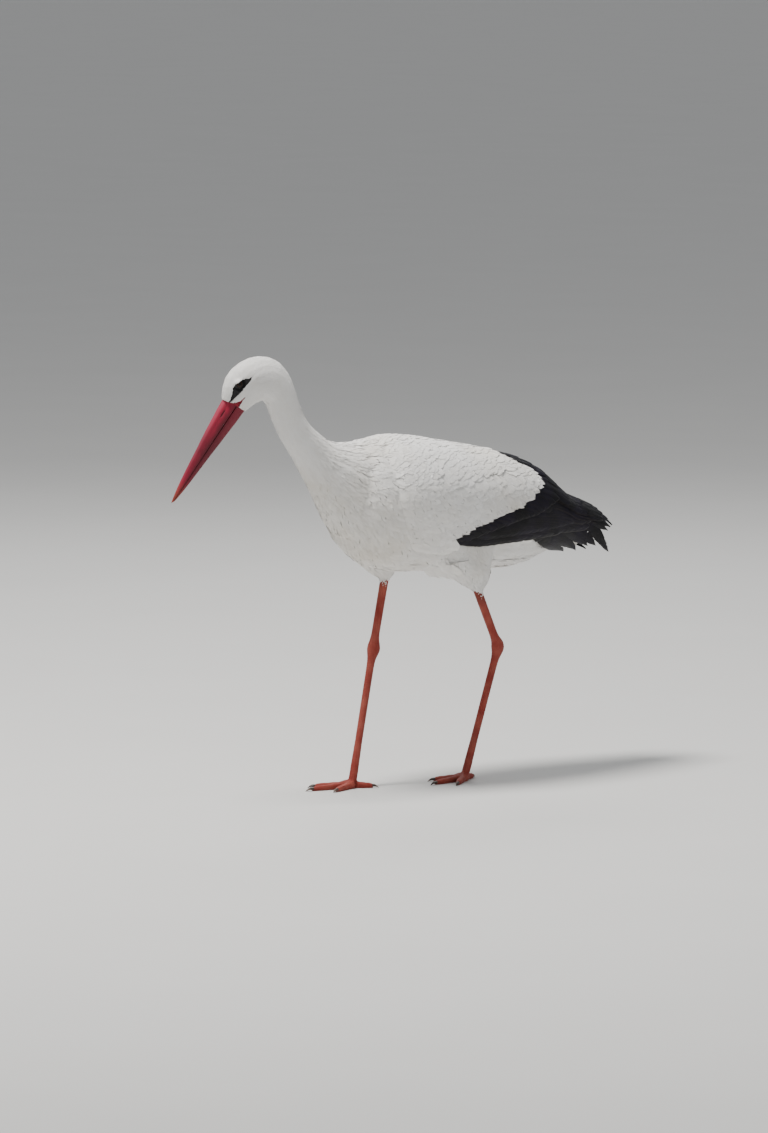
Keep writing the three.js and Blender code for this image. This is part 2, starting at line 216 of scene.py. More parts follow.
@dataclass
class Shell:
    """Corners in metres, and faces of four of them; a face whose last two match is a triangle."""

    corners: Array
    quads: Array

    def normals(self) -> Array:
        """Smooth normals at the corners.

        Returns:
            One normal for each corner.
        """
        a, b, c, d = (self.corners[self.quads[:, i]] for i in range(4))
        flat = np.cross(c - a, d - b)
        total = np.zeros_like(self.corners)
        for i in range(4):
            np.add.at(total, self.quads[:, i], flat)
        return unit(total)

    def edges(self) -> Array:
        """Each pair of neighbouring corners, in both directions."""
        pairs = np.concatenate([self.quads[:, [i, (i + 1) % 4]] for i in range(4)])
        return np.unique(np.concatenate([pairs, pairs[:, ::-1]]), axis=0)

    def neighbour_mean(self) -> Callable[[Array], Array]:
        """A function that takes rows of values at the corners to the mean of their neighbours' rows.

        Returns:
            The function.
        """
        pairs = self.edges()
        size = len(self.corners)
        count = np.bincount(pairs[:, 0], minlength=size).clip(1)[:, None]

        def mean(rows: Array) -> Array:
            """The mean of the neighbours' rows."""
            columns = [np.bincount(pairs[:, 0], column[pairs[:, 1]], size) for column in rows.T]
            return np.stack(columns, 1) / count

        return mean

    def spread(self, values: Array, rounds: int) -> Array:
        """Values at the corners, each averaged with its neighbours' some times over.

        Args:
            values: Rows of values.
            rounds: How many times they are averaged.

        Returns:
            The new rows.
        """
        mean = self.neighbour_mean()
        for _ in range(rounds):
            values = 0.5 * values + 0.5 * mean(values)
        return values

    def relaxed(self, rounds: int, share: Number = 1.0) -> "Shell":
        """The shell with its small steps smoothed away, at nearly the same size.

        Args:
            rounds: How many times it is smoothed.
            share: How strongly, from 0 to 1, for all corners or for each.

        Returns:
            The smoothed shell.
        """
        share = np.reshape(share, (-1, 1))
        mean = self.neighbour_mean()
        corners = self.corners.copy()
        for turn in range(2 * rounds):
            corners += share * (0.55 if turn % 2 == 0 else -0.56) * (mean(corners) - corners)
        return Shell(corners, self.quads)

    def main_body(self) -> "Shell":
        """The shell without its small loose parts.

        Returns:
            The large parts.
        """
        pairs = self.edges()
        label = np.arange(len(self.corners))
        while True:
            lowest = label.copy()
            np.minimum.at(lowest, pairs[:, 0], label[pairs[:, 1]])
            lowest = lowest[lowest]
            if np.array_equal(lowest, label):
                break
            label = lowest
        names, sizes = np.unique(label, return_counts=True)
        large = np.isin(label, names[sizes > 0.02 * len(label)])
        index = np.cumsum(large) - 1
        return Shell(self.corners[large], index[self.quads[large[self.quads].all(1)]])

    @staticmethod
    def joined(shells: Iterable["Shell"]) -> "Shell":
        """Several shells as one.

        Args:
            shells: The shells.

        Returns:
            One shell of all their corners and faces.
        """
        shells = list(shells)
        starts = np.cumsum([0] + [len(s.corners) for s in shells])
        quads = [s.quads + starts[i] for i, s in enumerate(shells)]
        return Shell(np.concatenate([s.corners for s in shells]), np.concatenate(quads))


def faces_between(grid: Array) -> Array:
    """The four-sided faces between the neighbours in a grid of corner numbers."""
    return np.stack([grid[:-1, :-1], grid[:-1, 1:], grid[1:, 1:], grid[1:, :-1]], -1).reshape(-1, 4)


def tube(rings: Array, first: Array, last: Array) -> Shell:
    """A closed shell round some rings of corners.

    Args:
        rings: The rings, (rings, corners in a ring, 3).
        first: The point that closes the first ring.
        last: The point that closes the last ring.

    Returns:
        The shell, with its faces turned outwards.
    """
    grid = np.arange(rings.shape[0] * rings.shape[1]).reshape(rings.shape[:2])
    over = np.roll(grid, -1, 1)
    start, end = np.full(len(over[0]), grid.size), np.full(len(over[0]), grid.size + 1)
    quads = np.concatenate([
        faces_between(np.pad(grid, ((0, 0), (0, 1)), "wrap")),
        np.stack([over[0], grid[0], start, start], -1),
        np.stack([grid[-1], over[-1], end, end], -1),
    ])
    corners = np.concatenate([rings.reshape(-1, 3), np.reshape([first, last], (2, 3))])
    a, b, c, d = (corners[quads[:, i]] - first for i in range(4))
    volume = (np.cross(c - a, d - b) * (a + b + c + d)).sum()
    return Shell(corners, quads if volume > 0 else quads[:, [1, 0, 3, 2]])


def make_object(
    name: str, shell: Shell, values: Optional[dict[str, Array]] = None, bake_map: Optional[Array] = None
) -> Piece:
    """Makes a smooth-shaded object from arrays.

    Args:
        name: The piece's name.
        shell: Its corners and faces.
        values: Named numbers at the corners, for the material.
        bake_map: A place on the unwrapped skin for each corner.

    Returns:
        The new object, linked to the scene.
    """
    mesh = bpy.data.meshes.new(name)
    quads = shell.quads.astype(np.int32)
    used = np.ones(quads.shape, bool)
    used[:, 3] = quads[:, 2] != quads[:, 3]
    loops, sizes = quads[used], used.sum(1)
    mesh.vertices.add(len(shell.corners))
    mesh.vertices.foreach_set("co", shell.corners.astype(np.float32).ravel())
    mesh.loops.add(len(loops))
    mesh.loops.foreach_set("vertex_index", loops)
    mesh.polygons.add(len(quads))
    mesh.polygons.foreach_set("loop_start", (np.cumsum(sizes) - sizes).astype(np.int32))
    mesh.polygons.foreach_set("use_smooth", np.ones(len(quads), bool))
    mesh.update(calc_edges=True)
    for key, numbers in (values or {}).items():
        layer = mesh.attributes.new(key, "FLOAT", "POINT")
        layer.data.foreach_set("value", numbers.astype(np.float32))
    if bake_map is not None:
        layer = mesh.uv_layers.new(name="OFBake")
        layer.uv.foreach_set("vector", bake_map[loops].astype(np.float32).ravel())
    mesh.validate(clean_customdata=False)
    return link(bpy.data.objects.new(name, mesh))


def link(made: Piece) -> Piece:
    """Puts a new object in the scene, and returns it."""
    bpy.context.scene.collection.objects.link(made)
    return made


def dress(piece: Piece, material: Material, slot: str, *nodes: str) -> None:
    """Gives a piece its finish and its body, and hides the frame's nodes that it stands for.

    Args:
        piece: The piece.
        material: Its finish.
        slot: Its slot in the record; not used.
        nodes: The frame's nodes that it stands for.
    """
    piece.data.materials.clear()
    piece.data.materials.append(material)
    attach(piece, BODY)
    if nodes:
        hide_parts(*nodes)
    LOG.info("%s: %d faces", piece.name, len(piece.data.polygons))


def fuse(nodes: Sequence[Piece], grow: float, voxel: float, rounds: int) -> Shell:
    """Melts some of the frame's solids into one smooth surface.

    Args:
        nodes: The solids.
        grow: How far each is swollen first, to close the gaps between them.
        voxel: The size of the new faces.
        rounds: How many times the surface is smoothed.

    Returns:
        One closed shell of even, four-sided faces.
    """
    whole = bmesh.new()
    for node in nodes:
        part = bmesh.new()
        part.from_mesh(node.data)
        bmesh.ops.remove_doubles(part, verts=part.verts, dist=1e-5)
        bmesh.ops.recalc_face_normals(part, faces=part.faces)
        part.normal_update()
        for v in part.verts:
            v.co += v.normal * grow
        swollen = bpy.data.meshes.new("swollen")
        part.to_mesh(swollen)
        part.free()
        whole.from_mesh(swollen)
        bpy.data.meshes.remove(swollen)
    mesh = bpy.data.meshes.new("fused")
    whole.to_mesh(mesh)
    whole.free()
    work = link(bpy.data.objects.new("fused", mesh))
    remesh = work.modifiers.new("remesh", "REMESH")
    remesh.mode = "VOXEL"
    remesh.voxel_size = voxel
    found = work.evaluated_get(bpy.context.evaluated_depsgraph_get()).to_mesh()
    corners = np.empty(len(found.vertices) * 3, np.float32)
    found.vertices.foreach_get("co", corners)
    loops = np.empty(len(found.loops), np.int32)
    found.loops.foreach_get("vertex_index", loops)
    work.to_mesh_clear()
    bpy.data.objects.remove(work)
    bpy.data.meshes.remove(mesh)
    shell = Shell(corners.reshape(-1, 3).astype(float), loops.reshape(-1, 4))
    return shell.main_body().relaxed(rounds)


class Surface:
    """A shell that feathers are laid on, with fast finding of its nearest point."""

    TRIES = 5  # roots tried for each one that fits

    def __init__(self, shell: Shell) -> None:
        """Takes the shell and prepares it for searching.

        Args:
            shell: The shell.
        """
        self.shell = shell
        self.tree = BVHTree.FromPolygons(shell.corners.tolist(), shell.quads.tolist())
        self.smooth = unit(shell.normals()[shell.quads].mean(1))

    def nearest(self, points: Array) -> tuple[Array, Array]:
        """The nearest places on the surface and the smooth normals there.

        Args:
            points: Places near the surface, as rows.

        Returns:
            The places and the normals.
        """
        found, index = np.empty_like(points), np.empty(len(points), int)
        for i, p in enumerate(points.tolist()):
            spot, _, face, _ = self.tree.find_nearest(p)
            found[i] = spot
            index[i] = face
        return found, self.smooth[index]

    def scatter(
        self, spacing: Callable[[Array], Array], wanted: Callable[[Array], Array], seed: int
    ) -> Array:
        """Roots spread evenly over the surface.

        Args:
            spacing: Gives the distance between roots at some places.
            wanted: Says which places are to have roots.
            seed: Chooses the pattern.

        Returns:
            The roots, as rows.
        """
        rng = np.random.default_rng(seed)
        a, b, c, d = (self.shell.corners[self.shell.quads[:, i]] for i in range(4))
        middle = (a + b + c + d) / 4
        area = 0.5 * np.linalg.norm(np.cross(c - a, d - b), axis=1) * wanted(middle)
        count = rng.poisson(area / spacing(middle) ** 2 * self.TRIES)
        face = np.repeat(np.arange(len(area)), count)
        u, v = rng.random((2, len(face), 1))
        points = (
            a[face] * (1 - u) * (1 - v) + b[face] * u * (1 - v) + c[face] * u * v + d[face] * (1 - u) * v
        )
        points = points[rng.permutation(len(points))]
        radius = spacing(points)
        tree = KDTree(len(points))
        for i, p in enumerate(points.tolist()):
            tree.insert(p, i)
        tree.balance()
        free = np.ones(len(points), bool)
        chosen = []
        for i, p in enumerate(points.tolist()):
            if free[i]:
                chosen.append(i)
                for _, j, _ in tree.find_range(p, radius[i]):
                    free[j] = False
        return points[chosen]

    def trace(self, roots: Array, headings: Array, lengths: Array, rings: int) -> tuple:
        """Lines that start at some roots and run along the surface.

        Args:
            roots: Places on the surface.
            headings: The way that each line sets out.
            lengths: Each line's length.
            rings: How many steps a line has.

        Returns:
            The lines' points and the normals there, each of shape (lines, rings + 1, 3).
        """
        spot, normal = self.nearest(roots)
        heading = headings
        spots, normals = [spot], [normal]
        for _ in range(rings):
            heading = unit(heading - normal * (heading * normal).sum(1, keepdims=True))
            spot, normal = self.nearest(spot + heading * (lengths / rings)[:, None])
            normal = unit(normal * 0.6 + normals[-1] * 0.4)
            spots.append(spot)
            normals.append(normal)
        return np.stack(spots, 1), np.stack(normals, 1)


# ---- Feathers ----


class Outline(Enum):
    """The widths of a vane from its root to its tip, as shares of its greatest half width."""

    CONTOUR = ((0, 0.3), (0.18, 0.72), (0.45, 1.0), (0.72, 0.97), (0.88, 0.76), (0.96, 0.5), (1, 0.24))
    LANCE = ((0, 0.35), (0.2, 0.8), (0.45, 1.0), (0.72, 0.95), (0.9, 0.68), (1, 0.2))
    FLIGHT = (
        (0, 0.12), (0.08, 0.5), (0.22, 0.92), (0.6, 1.0), (0.85, 0.88), (0.95, 0.6), (0.99, 0.3), (1, 0.1),
    )
    PRIMARY = ((0, 0.12), (0.08, 0.6), (0.25, 1.0), (0.6, 0.95), (0.8, 0.72), (0.93, 0.42), (1, 0.06))
    BROAD = ((0, 0.15), (0.1, 0.6), (0.3, 0.95), (0.7, 1.0), (0.88, 0.86), (0.96, 0.58), (1, 0.22))


@dataclass(frozen=True)
class VaneCut:
    """How one kind of feather is cut and shaped, as shares of its half width or its length."""

    outline: Outline
    rings: int
    columns: int
    ridge: float = 0.10
    camber: float = 0.16
    ragged: float = 0.05
    edge_noise: float = 0.10
    splits: float = 0.0
    thickness: float = 0.0
    tilt: float = 0.0
    rise: float = 1.6


@dataclass
class Coat:
    """One piece of plumage: many vanes joined in one mesh, with their places on the unwrap."""

    name: str
    corners: list = field(default_factory=list)
    quads: list = field(default_factory=list)
    values: dict = field(default_factory=lambda: {k: [] for k in Coat.NUMBERS})
    bake: list = field(default_factory=list)
    count: int = 0

    NUMBERS = ("along", "across", "barb", "tone")
    PATCH = 0.003

    def lay(
        self, spots: Array, normals: Array, half_widths: Number, heights: Array, cut: VaneCut,
        map_places: Array, rng: Random,
    ) -> None:
        """Adds a batch of like vanes.

        Args:
            spots: Points of each vane's middle line on the surface, (vanes, rings + 1, 3).
            normals: The surface's normals there.
            half_widths: The vanes' greatest half widths.
            heights: The middle line's height over the surface, (vanes, rings + 1).
            cut: The shape of the vanes.
            map_places: Each root's place on the unwrapped skin, (vanes, 2).
            rng: The source of small differences.
        """
        vanes, rings, cols = len(spots), cut.rings, cut.columns
        if vanes == 0:
            return
        t = np.linspace(0, 1, rings + 1)[None, :, None]
        a = np.linspace(-1, 1, cols + 1)[None, None, :]
        half = np.reshape(half_widths, (-1, 1, 1))
        profile = table_at(t, cut.outline.value)
        tangent = unit(np.gradient(spots, axis=1))
        side = unit(np.cross(normals, tangent))
        length = np.linalg.norm(np.diff(spots, axis=1), axis=2).sum(1)[:, None, None]
        noise = 1 + cut.edge_noise * rng.normal(size=(vanes, rings + 1, 2)).clip(-2, 2)
        if cut.splits:
            gap = rng.random((vanes, rings + 1, 2)) < cut.splits
            gap[:, : rings // 3] = False
            noise = np.where(gap, noise * 0.72, noise)
        reach = half * profile * np.where(a < 0, noise[..., :1], noise[..., 1:]) * a
        fray = cut.ragged * length * t**5 * rng.normal(size=(vanes, 1, cols + 1)).clip(-1.2, 1.2)
        sweep = -0.35 * half * a**2 * profile
        dorsal = np.where(side[:, :, 2].mean(1) < 0, -1.0, 1.0)[:, None, None] * a
        lift = (
            heights[..., None]
            - half * cut.tilt * profile * dorsal
            + half * cut.ridge * (1 - np.abs(a))
            - half * cut.camber * (profile * a) ** 2
        )
        corners = (
            spots[:, :, None]
            + side[:, :, None] * reach[..., None]
            + tangent[:, :, None] * (fray + sweep)[..., None]
            + normals[:, :, None] * lift[..., None]
        )
        tones = rng.random(vanes)[:, None, None]
        across, along, tone, _ = np.broadcast_arrays(a, t, tones, reach)
        barb = along * length - np.abs(reach) * 0.9
        bake = map_places[:, None, None] + np.stack([across, 2 * along - 1], -1) * (self.PATCH / 2)
        ring = np.arange((rings + 1) * (cols + 1)).reshape(rings + 1, cols + 1)
        sheets, faces = [corners], [faces_between(ring)]
        if cut.thickness:
            thin = cut.thickness * (1.0 - 0.75 * np.abs(across) ** 3)
            sheets.append(corners - normals[:, :, None] * thin[..., None])
            rim = np.concatenate([ring[0, :], ring[1:, -1], ring[-1, -2::-1], ring[-2:0:-1, 0]])
            after = np.roll(rim, -1)
            faces.append(faces[0][:, ::-1] + ring.size)
            faces.append(np.stack([after, rim, rim + ring.size, after + ring.size], -1))
        block = ring.size * len(sheets)
        starts = self.count + np.arange(vanes) * block
        self.quads.append((np.concatenate(faces)[None] + starts[:, None, None]).reshape(-1, 4))
        self.corners.append(np.stack(sheets, 1).reshape(-1, 3))
        for key, numbers in zip(self.NUMBERS, (along, across, barb, tone)):
            self.values[key].append(np.stack([numbers] * len(sheets), 1).ravel())
        self.bake.append(np.stack([bake] * len(sheets), 1).reshape(-1, 2))
        self.count += vanes * block

    def build(self, material: Material, slot: str, *nodes: str) -> None:
        """Makes the piece from all that was laid, and dresses it.

        Args:
            material: Its finish.
            slot: Its slot in the record.
            nodes: The frame's nodes that it stands for.
        """
        shell = Shell(np.concatenate(self.corners), np.concatenate(self.quads))
        values = {k: np.concatenate(v) for k, v in self.values.items()}
        dress(make_object(self.name, shell, values, np.concatenate(self.bake)), material, slot, *nodes)


# ---- Shader language ----

Value = Union["Sock", float]


class Sock:
    """A socket's number, on which sums are written as in Python."""

    def __init__(self, paint: "Paint", socket: bpy.types.NodeSocket) -> None:
        """Wraps an output socket of a material."""
        self.paint, self.socket = paint, socket

    def _sum(self, kind: str, *terms: Value) -> "Sock":
        """One Math node."""
        return self.paint.node("ShaderNodeMath", {"operation": kind}, dict(enumerate(terms)))

    def __add__(self, other: Value) -> "Sock":
        """self + other"""
        return self._sum("ADD", self, other)

    def __sub__(self, other: Value) -> "Sock":
        """self - other"""
        return self._sum("SUBTRACT", self, other)

    def __rsub__(self, other: Value) -> "Sock":
        """other - self"""
        return self._sum("SUBTRACT", other, self)

    def __mul__(self, other: Value) -> "Sock":
        """self * other"""
        return self._sum("MULTIPLY", self, other)

    def __truediv__(self, other: Value) -> "Sock":
        """self / other"""
        return self._sum("DIVIDE", self, other)

    def __pow__(self, other: Value) -> "Sock":
        """self ** other"""
        return self._sum("POWER", self, other)

    __radd__, __rmul__ = __add__, __mul__

    def __abs__(self) -> "Sock":
        """abs(self)"""
        return self._sum("ABSOLUTE", self)

    def sine(self) -> "Sock":
        """The sine of self, in radians."""
        return self._sum("SINE", self)

    def clipped(self) -> "Sock":
        """self held between 0 and 1."""
        return self.paint.node("ShaderNodeClamp", {}, {"Value": self})

    def rise(self, low: float, high: float) -> "Sock":
        """A smooth 0 to 1 as self goes from low to high."""
        return self.paint.node(
            "ShaderNodeMapRange",
            {"interpolation_type": "SMOOTHSTEP"},
            {"Value": self, "From Min": low, "From Max": high},
        )


class Paint:
    """A material that is written as a short recipe."""

    def __init__(self, name: str) -> None:
        """Starts an empty material with its output.

        Args:
            name: The material's name.
        """
        self.material = bpy.data.materials.new(name)
        self.material.use_nodes = True
        self.tree = self.material.node_tree
        self.tree.nodes.clear()
        self.out = self.tree.nodes.new("ShaderNodeOutputMaterial")
        self.place_socket: Optional[Sock] = None

    def node(self, kind: str, settings: dict, inputs: dict, output: Union[str, int] = 0) -> Sock:
        """Adds a node.

        Args:
            kind: The node's type.
            settings: Properties, set before the sockets.
            inputs: Socket name or number to a value, a colour or a Sock.
            output: Which output to return.

        Returns:
            The chosen output.
        """
        made = self.tree.nodes.new(kind)
        for key, setting in settings.items():
            setattr(made, key, setting)
        for key, value in inputs.items():
            if isinstance(value, Sock):
                self.tree.links.new(value.socket, made.inputs[key])
            elif isinstance(value, tuple) and made.inputs[key].type == "RGBA":
                made.inputs[key].default_value = (*value, 1.0)
            else:
                made.inputs[key].default_value = value
        return Sock(self, made.outputs[output])

    def value(self, name: str) -> Sock:
        """A named number that the mesh carries."""
        return self.node("ShaderNodeAttribute", {"attribute_name": name}, {}, "Fac")

    def place(self) -> Sock:
        """Where a point is on the object, in metres."""
        if self.place_socket is None:
            self.place_socket = self.node("ShaderNodeTexCoord", {}, {}, "Object")
        return self.place_socket

    def axis(self, name: str) -> Sock:
        """One of a point's coordinates on the object, in metres."""
        return self.node("ShaderNodeSeparateXYZ", {}, {"Vector": self.place()}, name)

    def noise(self, scale: float, detail: float = 2.0, stretch: Optional[Colour] = None) -> Sock:
        """Cloudy noise over the object, 0 to 1.

        Args:
            scale: Waves in a metre.
            detail: How many finer layers it has.
            stretch: More waves along some axes.

        Returns:
            The noise.
        """
        where = self.place()
        if stretch is not None:
            where = self.node("ShaderNodeMapping", {}, {"Vector": where, "Scale": stretch})
        return self.node("ShaderNodeTexNoise", {}, {"Vector": where, "Scale": scale, "Detail": detail})

    def cells(self, scale: float) -> Sock:
        """A pattern of cells.

        Args:
            scale: The cells in a metre.

        Returns:
            The distance to the nearest border between cells.
        """
        settings = {"feature": "DISTANCE_TO_EDGE"}
        inputs = {"Vector": self.place(), "Scale": scale}
        return self.node("ShaderNodeTexVoronoi", settings, inputs, "Distance")

    def mix(self, share: Value, first: Union[Colour, Sock], second: Union[Colour, Sock]) -> Sock:
        """A colour between two others."""
        inputs = {0: share, 6: first, 7: second}
        return self.node("ShaderNodeMix", {"data_type": "RGBA"}, inputs, 2)

    def bump(self, height: Sock, depth: float, strength: float = 1.0) -> Sock:
        """Relief of a height from 0 to 1, of some depth in metres."""
        return self.node("ShaderNodeBump", {}, {"Height": height, "Distance": depth, "Strength": strength})

    def surface(self, **inputs: object) -> Material:
        """Ends the recipe with the main shader and returns the material.

        Args:
            inputs: The main shader's inputs, with _ for each space.

        Returns:
            The finished material.
        """
        named = {key.replace("_", " "): value for key, value in inputs.items()}
        shader = self.node("ShaderNodeBsdfPrincipled", {}, named, "BSDF")
        self.tree.links.new(shader.socket, self.out.inputs["Surface"])
        return self.material


# ---- Finishes ----


@dataclass(frozen=True)
class WhitePlumage:
    """Soft white feathers, a little warm in random patches of wear and buff low on the front, with painted
    grey shade towards their roots.
    """

    name: str = "white_plumage"
    clean: Colour = (0.83, 0.82, 0.80)
    buff: Colour = (0.70, 0.655, 0.575)
    # painted shade: the grey that is mixed in towards each vane's root, for the shadow between overlapping
    # feathers
    root: Colour = (0.72, 0.71, 0.70)
    barb_pitch: float = 0.0006

    def make(self) -> Material:
        """Builds the material.

        Returns:
            The material.
        """
        p = Paint(self.name)
        along, across, tone = p.value("along"), p.value("across"), p.value("tone")
        wear = p.noise(9.0, 3.0).rise(0.42, 0.75) * 0.55 + tone * 0.16
        # a buff tint, strongest low on the front of the neck and on the breast
        low_neck = (1 - p.axis("Z").rise(0.40, 0.56)) * (1 - p.axis("Y").rise(-0.11, 0.06))
        colour = p.mix((wear + low_neck * 0.38).clipped(), self.clean, self.buff)
        # painted shade: greyer towards each vane's root, where the feathers over it would shade it
        colour = p.mix((1 - along.rise(0.0, 0.42)) * 0.5, colour, self.root)
        shaft = (1 - abs(across).rise(0.02, 0.13)) * 0.16
        colour = p.mix(shaft, colour, self.buff)
        barbs = (p.value("barb") * (2 * math.pi / self.barb_pitch)).sine() * 0.5 + 0.5
        parting = p.noise(420.0, 2.0)
        relief = p.bump(barbs * 0.4 + parting * 0.6, 0.00012, 0.5)
        return p.surface(
            Base_Color=colour, Roughness=0.78 + tone * 0.1, Normal=relief, Sheen_Weight=0.12,
            Sheen_Roughness=0.5, Specular_IOR_Level=0.2, Subsurface_Weight=0.18,
            Subsurface_Radius=(0.003, 0.003, 0.003), Subsurface_Scale=1.0,
        )


@dataclass(frozen=True)
class BlackPlumage:
    """Black flight feathers with a faint purple sheen painted into the colour in patches."""

    name: str = "black_plumage"
    deep: Colour = (0.0045, 0.0045, 0.0055)
    # painted sheen: the purple of the patches stands in for the feathers' iridescent gloss
    painted_violet_sheen: Colour = (0.011, 0.008, 0.019)
    rust: Colour = (0.016, 0.012, 0.010)
    barb_pitch: float = 0.0011

    def make(self) -> Material:
        """Builds the material.

        Returns:
            The material.
        """
        p = Paint(self.name)
        across, tone = p.value("across"), p.value("tone")
        # painted sheen: noise patches of purple in place of a gloss that changes with the view
        gloss = p.noise(22.0, 2.0).rise(0.4, 0.7)
        colour = p.mix(gloss * 0.75, self.deep, self.painted_violet_sheen)
        colour = p.mix(abs(across).rise(0.72, 1.0) * 0.6, colour, self.rust)
        colour = p.mix((1 - abs(across).rise(0.0, 0.06)) * 0.7, colour, self.rust)
        barbs = (p.value("barb") * (2 * math.pi / self.barb_pitch)).sine() * 0.5 + 0.5
        relief = p.bump(barbs * 0.6 + p.noise(300.0, 2.0) * 0.4, 0.00025, 0.6)
        return p.surface(
            Base_Color=colour, Roughness=0.36 + tone * 0.14, Normal=relief, Specular_IOR_Level=0.10,
        )


@dataclass(frozen=True)
class BirdSkin:
    """The skin: pale under white plumage, dark under black, bare black at the eye, red on the legs."""

    name: str = "bird_skin"
    pale: Colour = (0.72, 0.70, 0.67)
    dark: Colour = (0.012, 0.012, 0.014)
    face: Colour = (0.006, 0.0055, 0.006)
    face_worn: Colour = (0.018, 0.016, 0.016)
    gape: Colour = (0.24, 0.010, 0.024)
    gape_dark: Colour = (0.13, 0.009, 0.015)
    leg: Colour = (0.25, 0.030, 0.020)
    leg_pale: Colour = (0.34, 0.075, 0.050)
    leg_dark: Colour = (0.085, 0.014, 0.011)

    def make(self) -> Material:
        """Builds the material.

        Returns:
            The material.
        """
        p = Paint(self.name)
        bare, leg, gape = p.value("bare"), p.value("leg"), p.value("gape")
        colour = p.mix(p.value("black"), self.pale, self.dark)
        face = p.mix(p.noise(260.0, 3.0).rise(0.45, 0.75), self.face, self.face_worn)
        mouth = p.mix(p.noise(150.0, 3.0).rise(0.4, 0.75) * 0.7, self.gape, self.gape_dark)
        colour = p.mix(gape, p.mix(bare, colour, face), mouth)
        scale_edge = 1 - p.cells(380.0).rise(0.0, 0.10)
        legs = p.mix(p.noise(38.0, 3.0).rise(0.35, 0.72), self.leg, self.leg_pale)
        legs = p.mix(p.noise(13.0, 2.0).rise(0.5, 0.8) * 0.7, legs, self.leg_dark)
        legs = p.mix(scale_edge * 0.22, legs, self.leg_dark)
        colour = p.mix(leg, colour, legs)
        wrinkles = p.cells(900.0).rise(0.0, 0.3)
        height = (1 - leg) * (wrinkles * 0.7 + p.noise(500.0) * 0.3) + leg * (p.cells(380.0).rise(0.0, 0.14))
        return p.surface(
            Base_Color=colour, Roughness=0.55 + p.noise(90.0) * 0.2 - bare * 0.08, Specular_IOR_Level=0.3,
            Normal=p.bump(height, 0.00035, 0.7),
        )


@dataclass(frozen=True)
class BillHorn:
    """The red bill: crimson at the base, darker along the middle and orange near the point, with painted
    shade on the sides and below and a painted rosy highlight on the culmen.
    """

    name: str = "bill_horn"
    crimson: Colour = (0.27, 0.009, 0.032)
    # darker red for random mottling and streaks, and for painted shade on the sides and underside
    dusky_and_shade: Colour = (0.085, 0.007, 0.014)
    orange: Colour = (0.27, 0.055, 0.030)
    # painted highlight: the rosy colour along the top of the upper mandible
    painted_culmen_highlight: Colour = (0.42, 0.075, 0.12)
    # painted shade for the nostril grooves and the line where the mandibles meet
    cleft_shade: Colour = (0.045, 0.007, 0.009)

    def make(self) -> Material:
        """Builds the material.

        Returns:
            The material.
        """
        p = Paint(self.name)
        along, culmen, cleft_shade = p.value("along"), p.value("culmen"), p.value("cleft_shade")
        streak = p.noise(1.0, 3.0, (420.0, 120.0, 90.0))
        colour = p.mix(p.noise(30.0, 3.0).rise(0.38, 0.7) * 0.55, self.crimson, self.dusky_and_shade)
        # painted shade: darker away from the top of the upper mandible, on the sides and the lower mandible
        colour = p.mix((1 - culmen.rise(0.0, 0.5)) * 0.55, colour, self.dusky_and_shade)
        middle = along.rise(0.10, 0.45) * (1 - along.rise(0.62, 0.9))
        colour = p.mix(middle * 0.5, colour, self.dusky_and_shade)
        # painted highlight: rosy along the culmen, fading towards the point
        colour = p.mix(culmen.rise(0.75, 1.0) * (1 - along) * 0.4, colour, self.painted_culmen_highlight)
        colour = p.mix(along.rise(0.76, 0.98) * 0.8, colour, self.orange)
        colour = p.mix(streak.rise(0.5, 0.8) * 0.3, colour, self.dusky_and_shade)
        # painted shade: darkest in the nostril grooves and along the line where the mandibles meet
        colour = p.mix(cleft_shade, colour, self.cleft_shade)
        relief = p.bump(streak * 0.6 + p.noise(160.0, 3.0) * 0.4, 0.0003, 0.5)
        return p.surface(
            Base_Color=colour, Roughness=0.4 + streak * 0.2, Normal=relief, Specular_IOR_Level=0.28,
            Coat_Weight=0.06, Coat_Roughness=0.3,
        )


@dataclass(frozen=True)
class ClawHorn:
    """Dark brown horn, mottled with paler brown."""

    name: str = "claw_horn"
    dark: Colour = (0.028, 0.018, 0.014)
    pale: Colour = (0.16, 0.10, 0.07)

    def make(self) -> Material:
        """Builds the material.

        Returns:
            The material.
        """
        p = Paint(self.name)
        colour = p.mix(p.noise(120.0, 3.0).rise(0.4, 0.8), self.dark, self.pale)
        relief = p.bump(p.noise(600.0, 2.0), 0.0002, 0.6)
        return p.surface(Base_Color=colour, Roughness=0.34 + p.noise(200.0) * 0.2, Normal=relief)


@dataclass(frozen=True)
class EyeGloss:
    """A dark brown iris round a black pupil, under a wet clear front."""

    name: str = "eye_gloss"
    pupil: Colour = (0.003, 0.003, 0.003)
    iris: Colour = (0.030, 0.013, 0.007)
    fibre: Colour = (0.018, 0.009, 0.005)
    iris_rim: Colour = (0.006, 0.004, 0.003)

    def make(self) -> Material:
        """Builds the material.

        Returns:
            The material.
        """
        p = Paint(self.name)
        ring, spoke = p.value("ring"), p.value("spoke")
        fibres = (spoke * 46.0 + p.noise(700.0) * 3.0).sine() * 0.5 + 0.5
        colour = p.mix(fibres * 0.6, self.iris, self.fibre)
        colour = p.mix(ring.rise(0.52, 0.66), colour, self.iris_rim)
        colour = p.mix(1 - ring.rise(0.33, 0.38), colour, self.pupil)
        return p.surface(
            Base_Color=colour, Roughness=0.3 + ring * 0.05, Coat_Weight=0.25, Coat_Roughness=0.02,
            Specular_IOR_Level=0.05,
        )


@dataclass(frozen=True)
class PaleFloor:
    """The studio's plain matt floor."""

    name: str = "pale_floor"
    light: Colour = (0.62, 0.615, 0.60)
    shade: Colour = (0.59, 0.585, 0.57)

    def make(self) -> Material:
        """Builds the material.

        Returns:
            The material.
        """
        p = Paint(self.name)
        colour = p.mix(p.noise(3.0, 4.0), self.light, self.shade)
        return p.surface(Base_Color=colour, Roughness=0.85, Specular_IOR_Level=0.2)


# ---- The line that the plumage follows ----


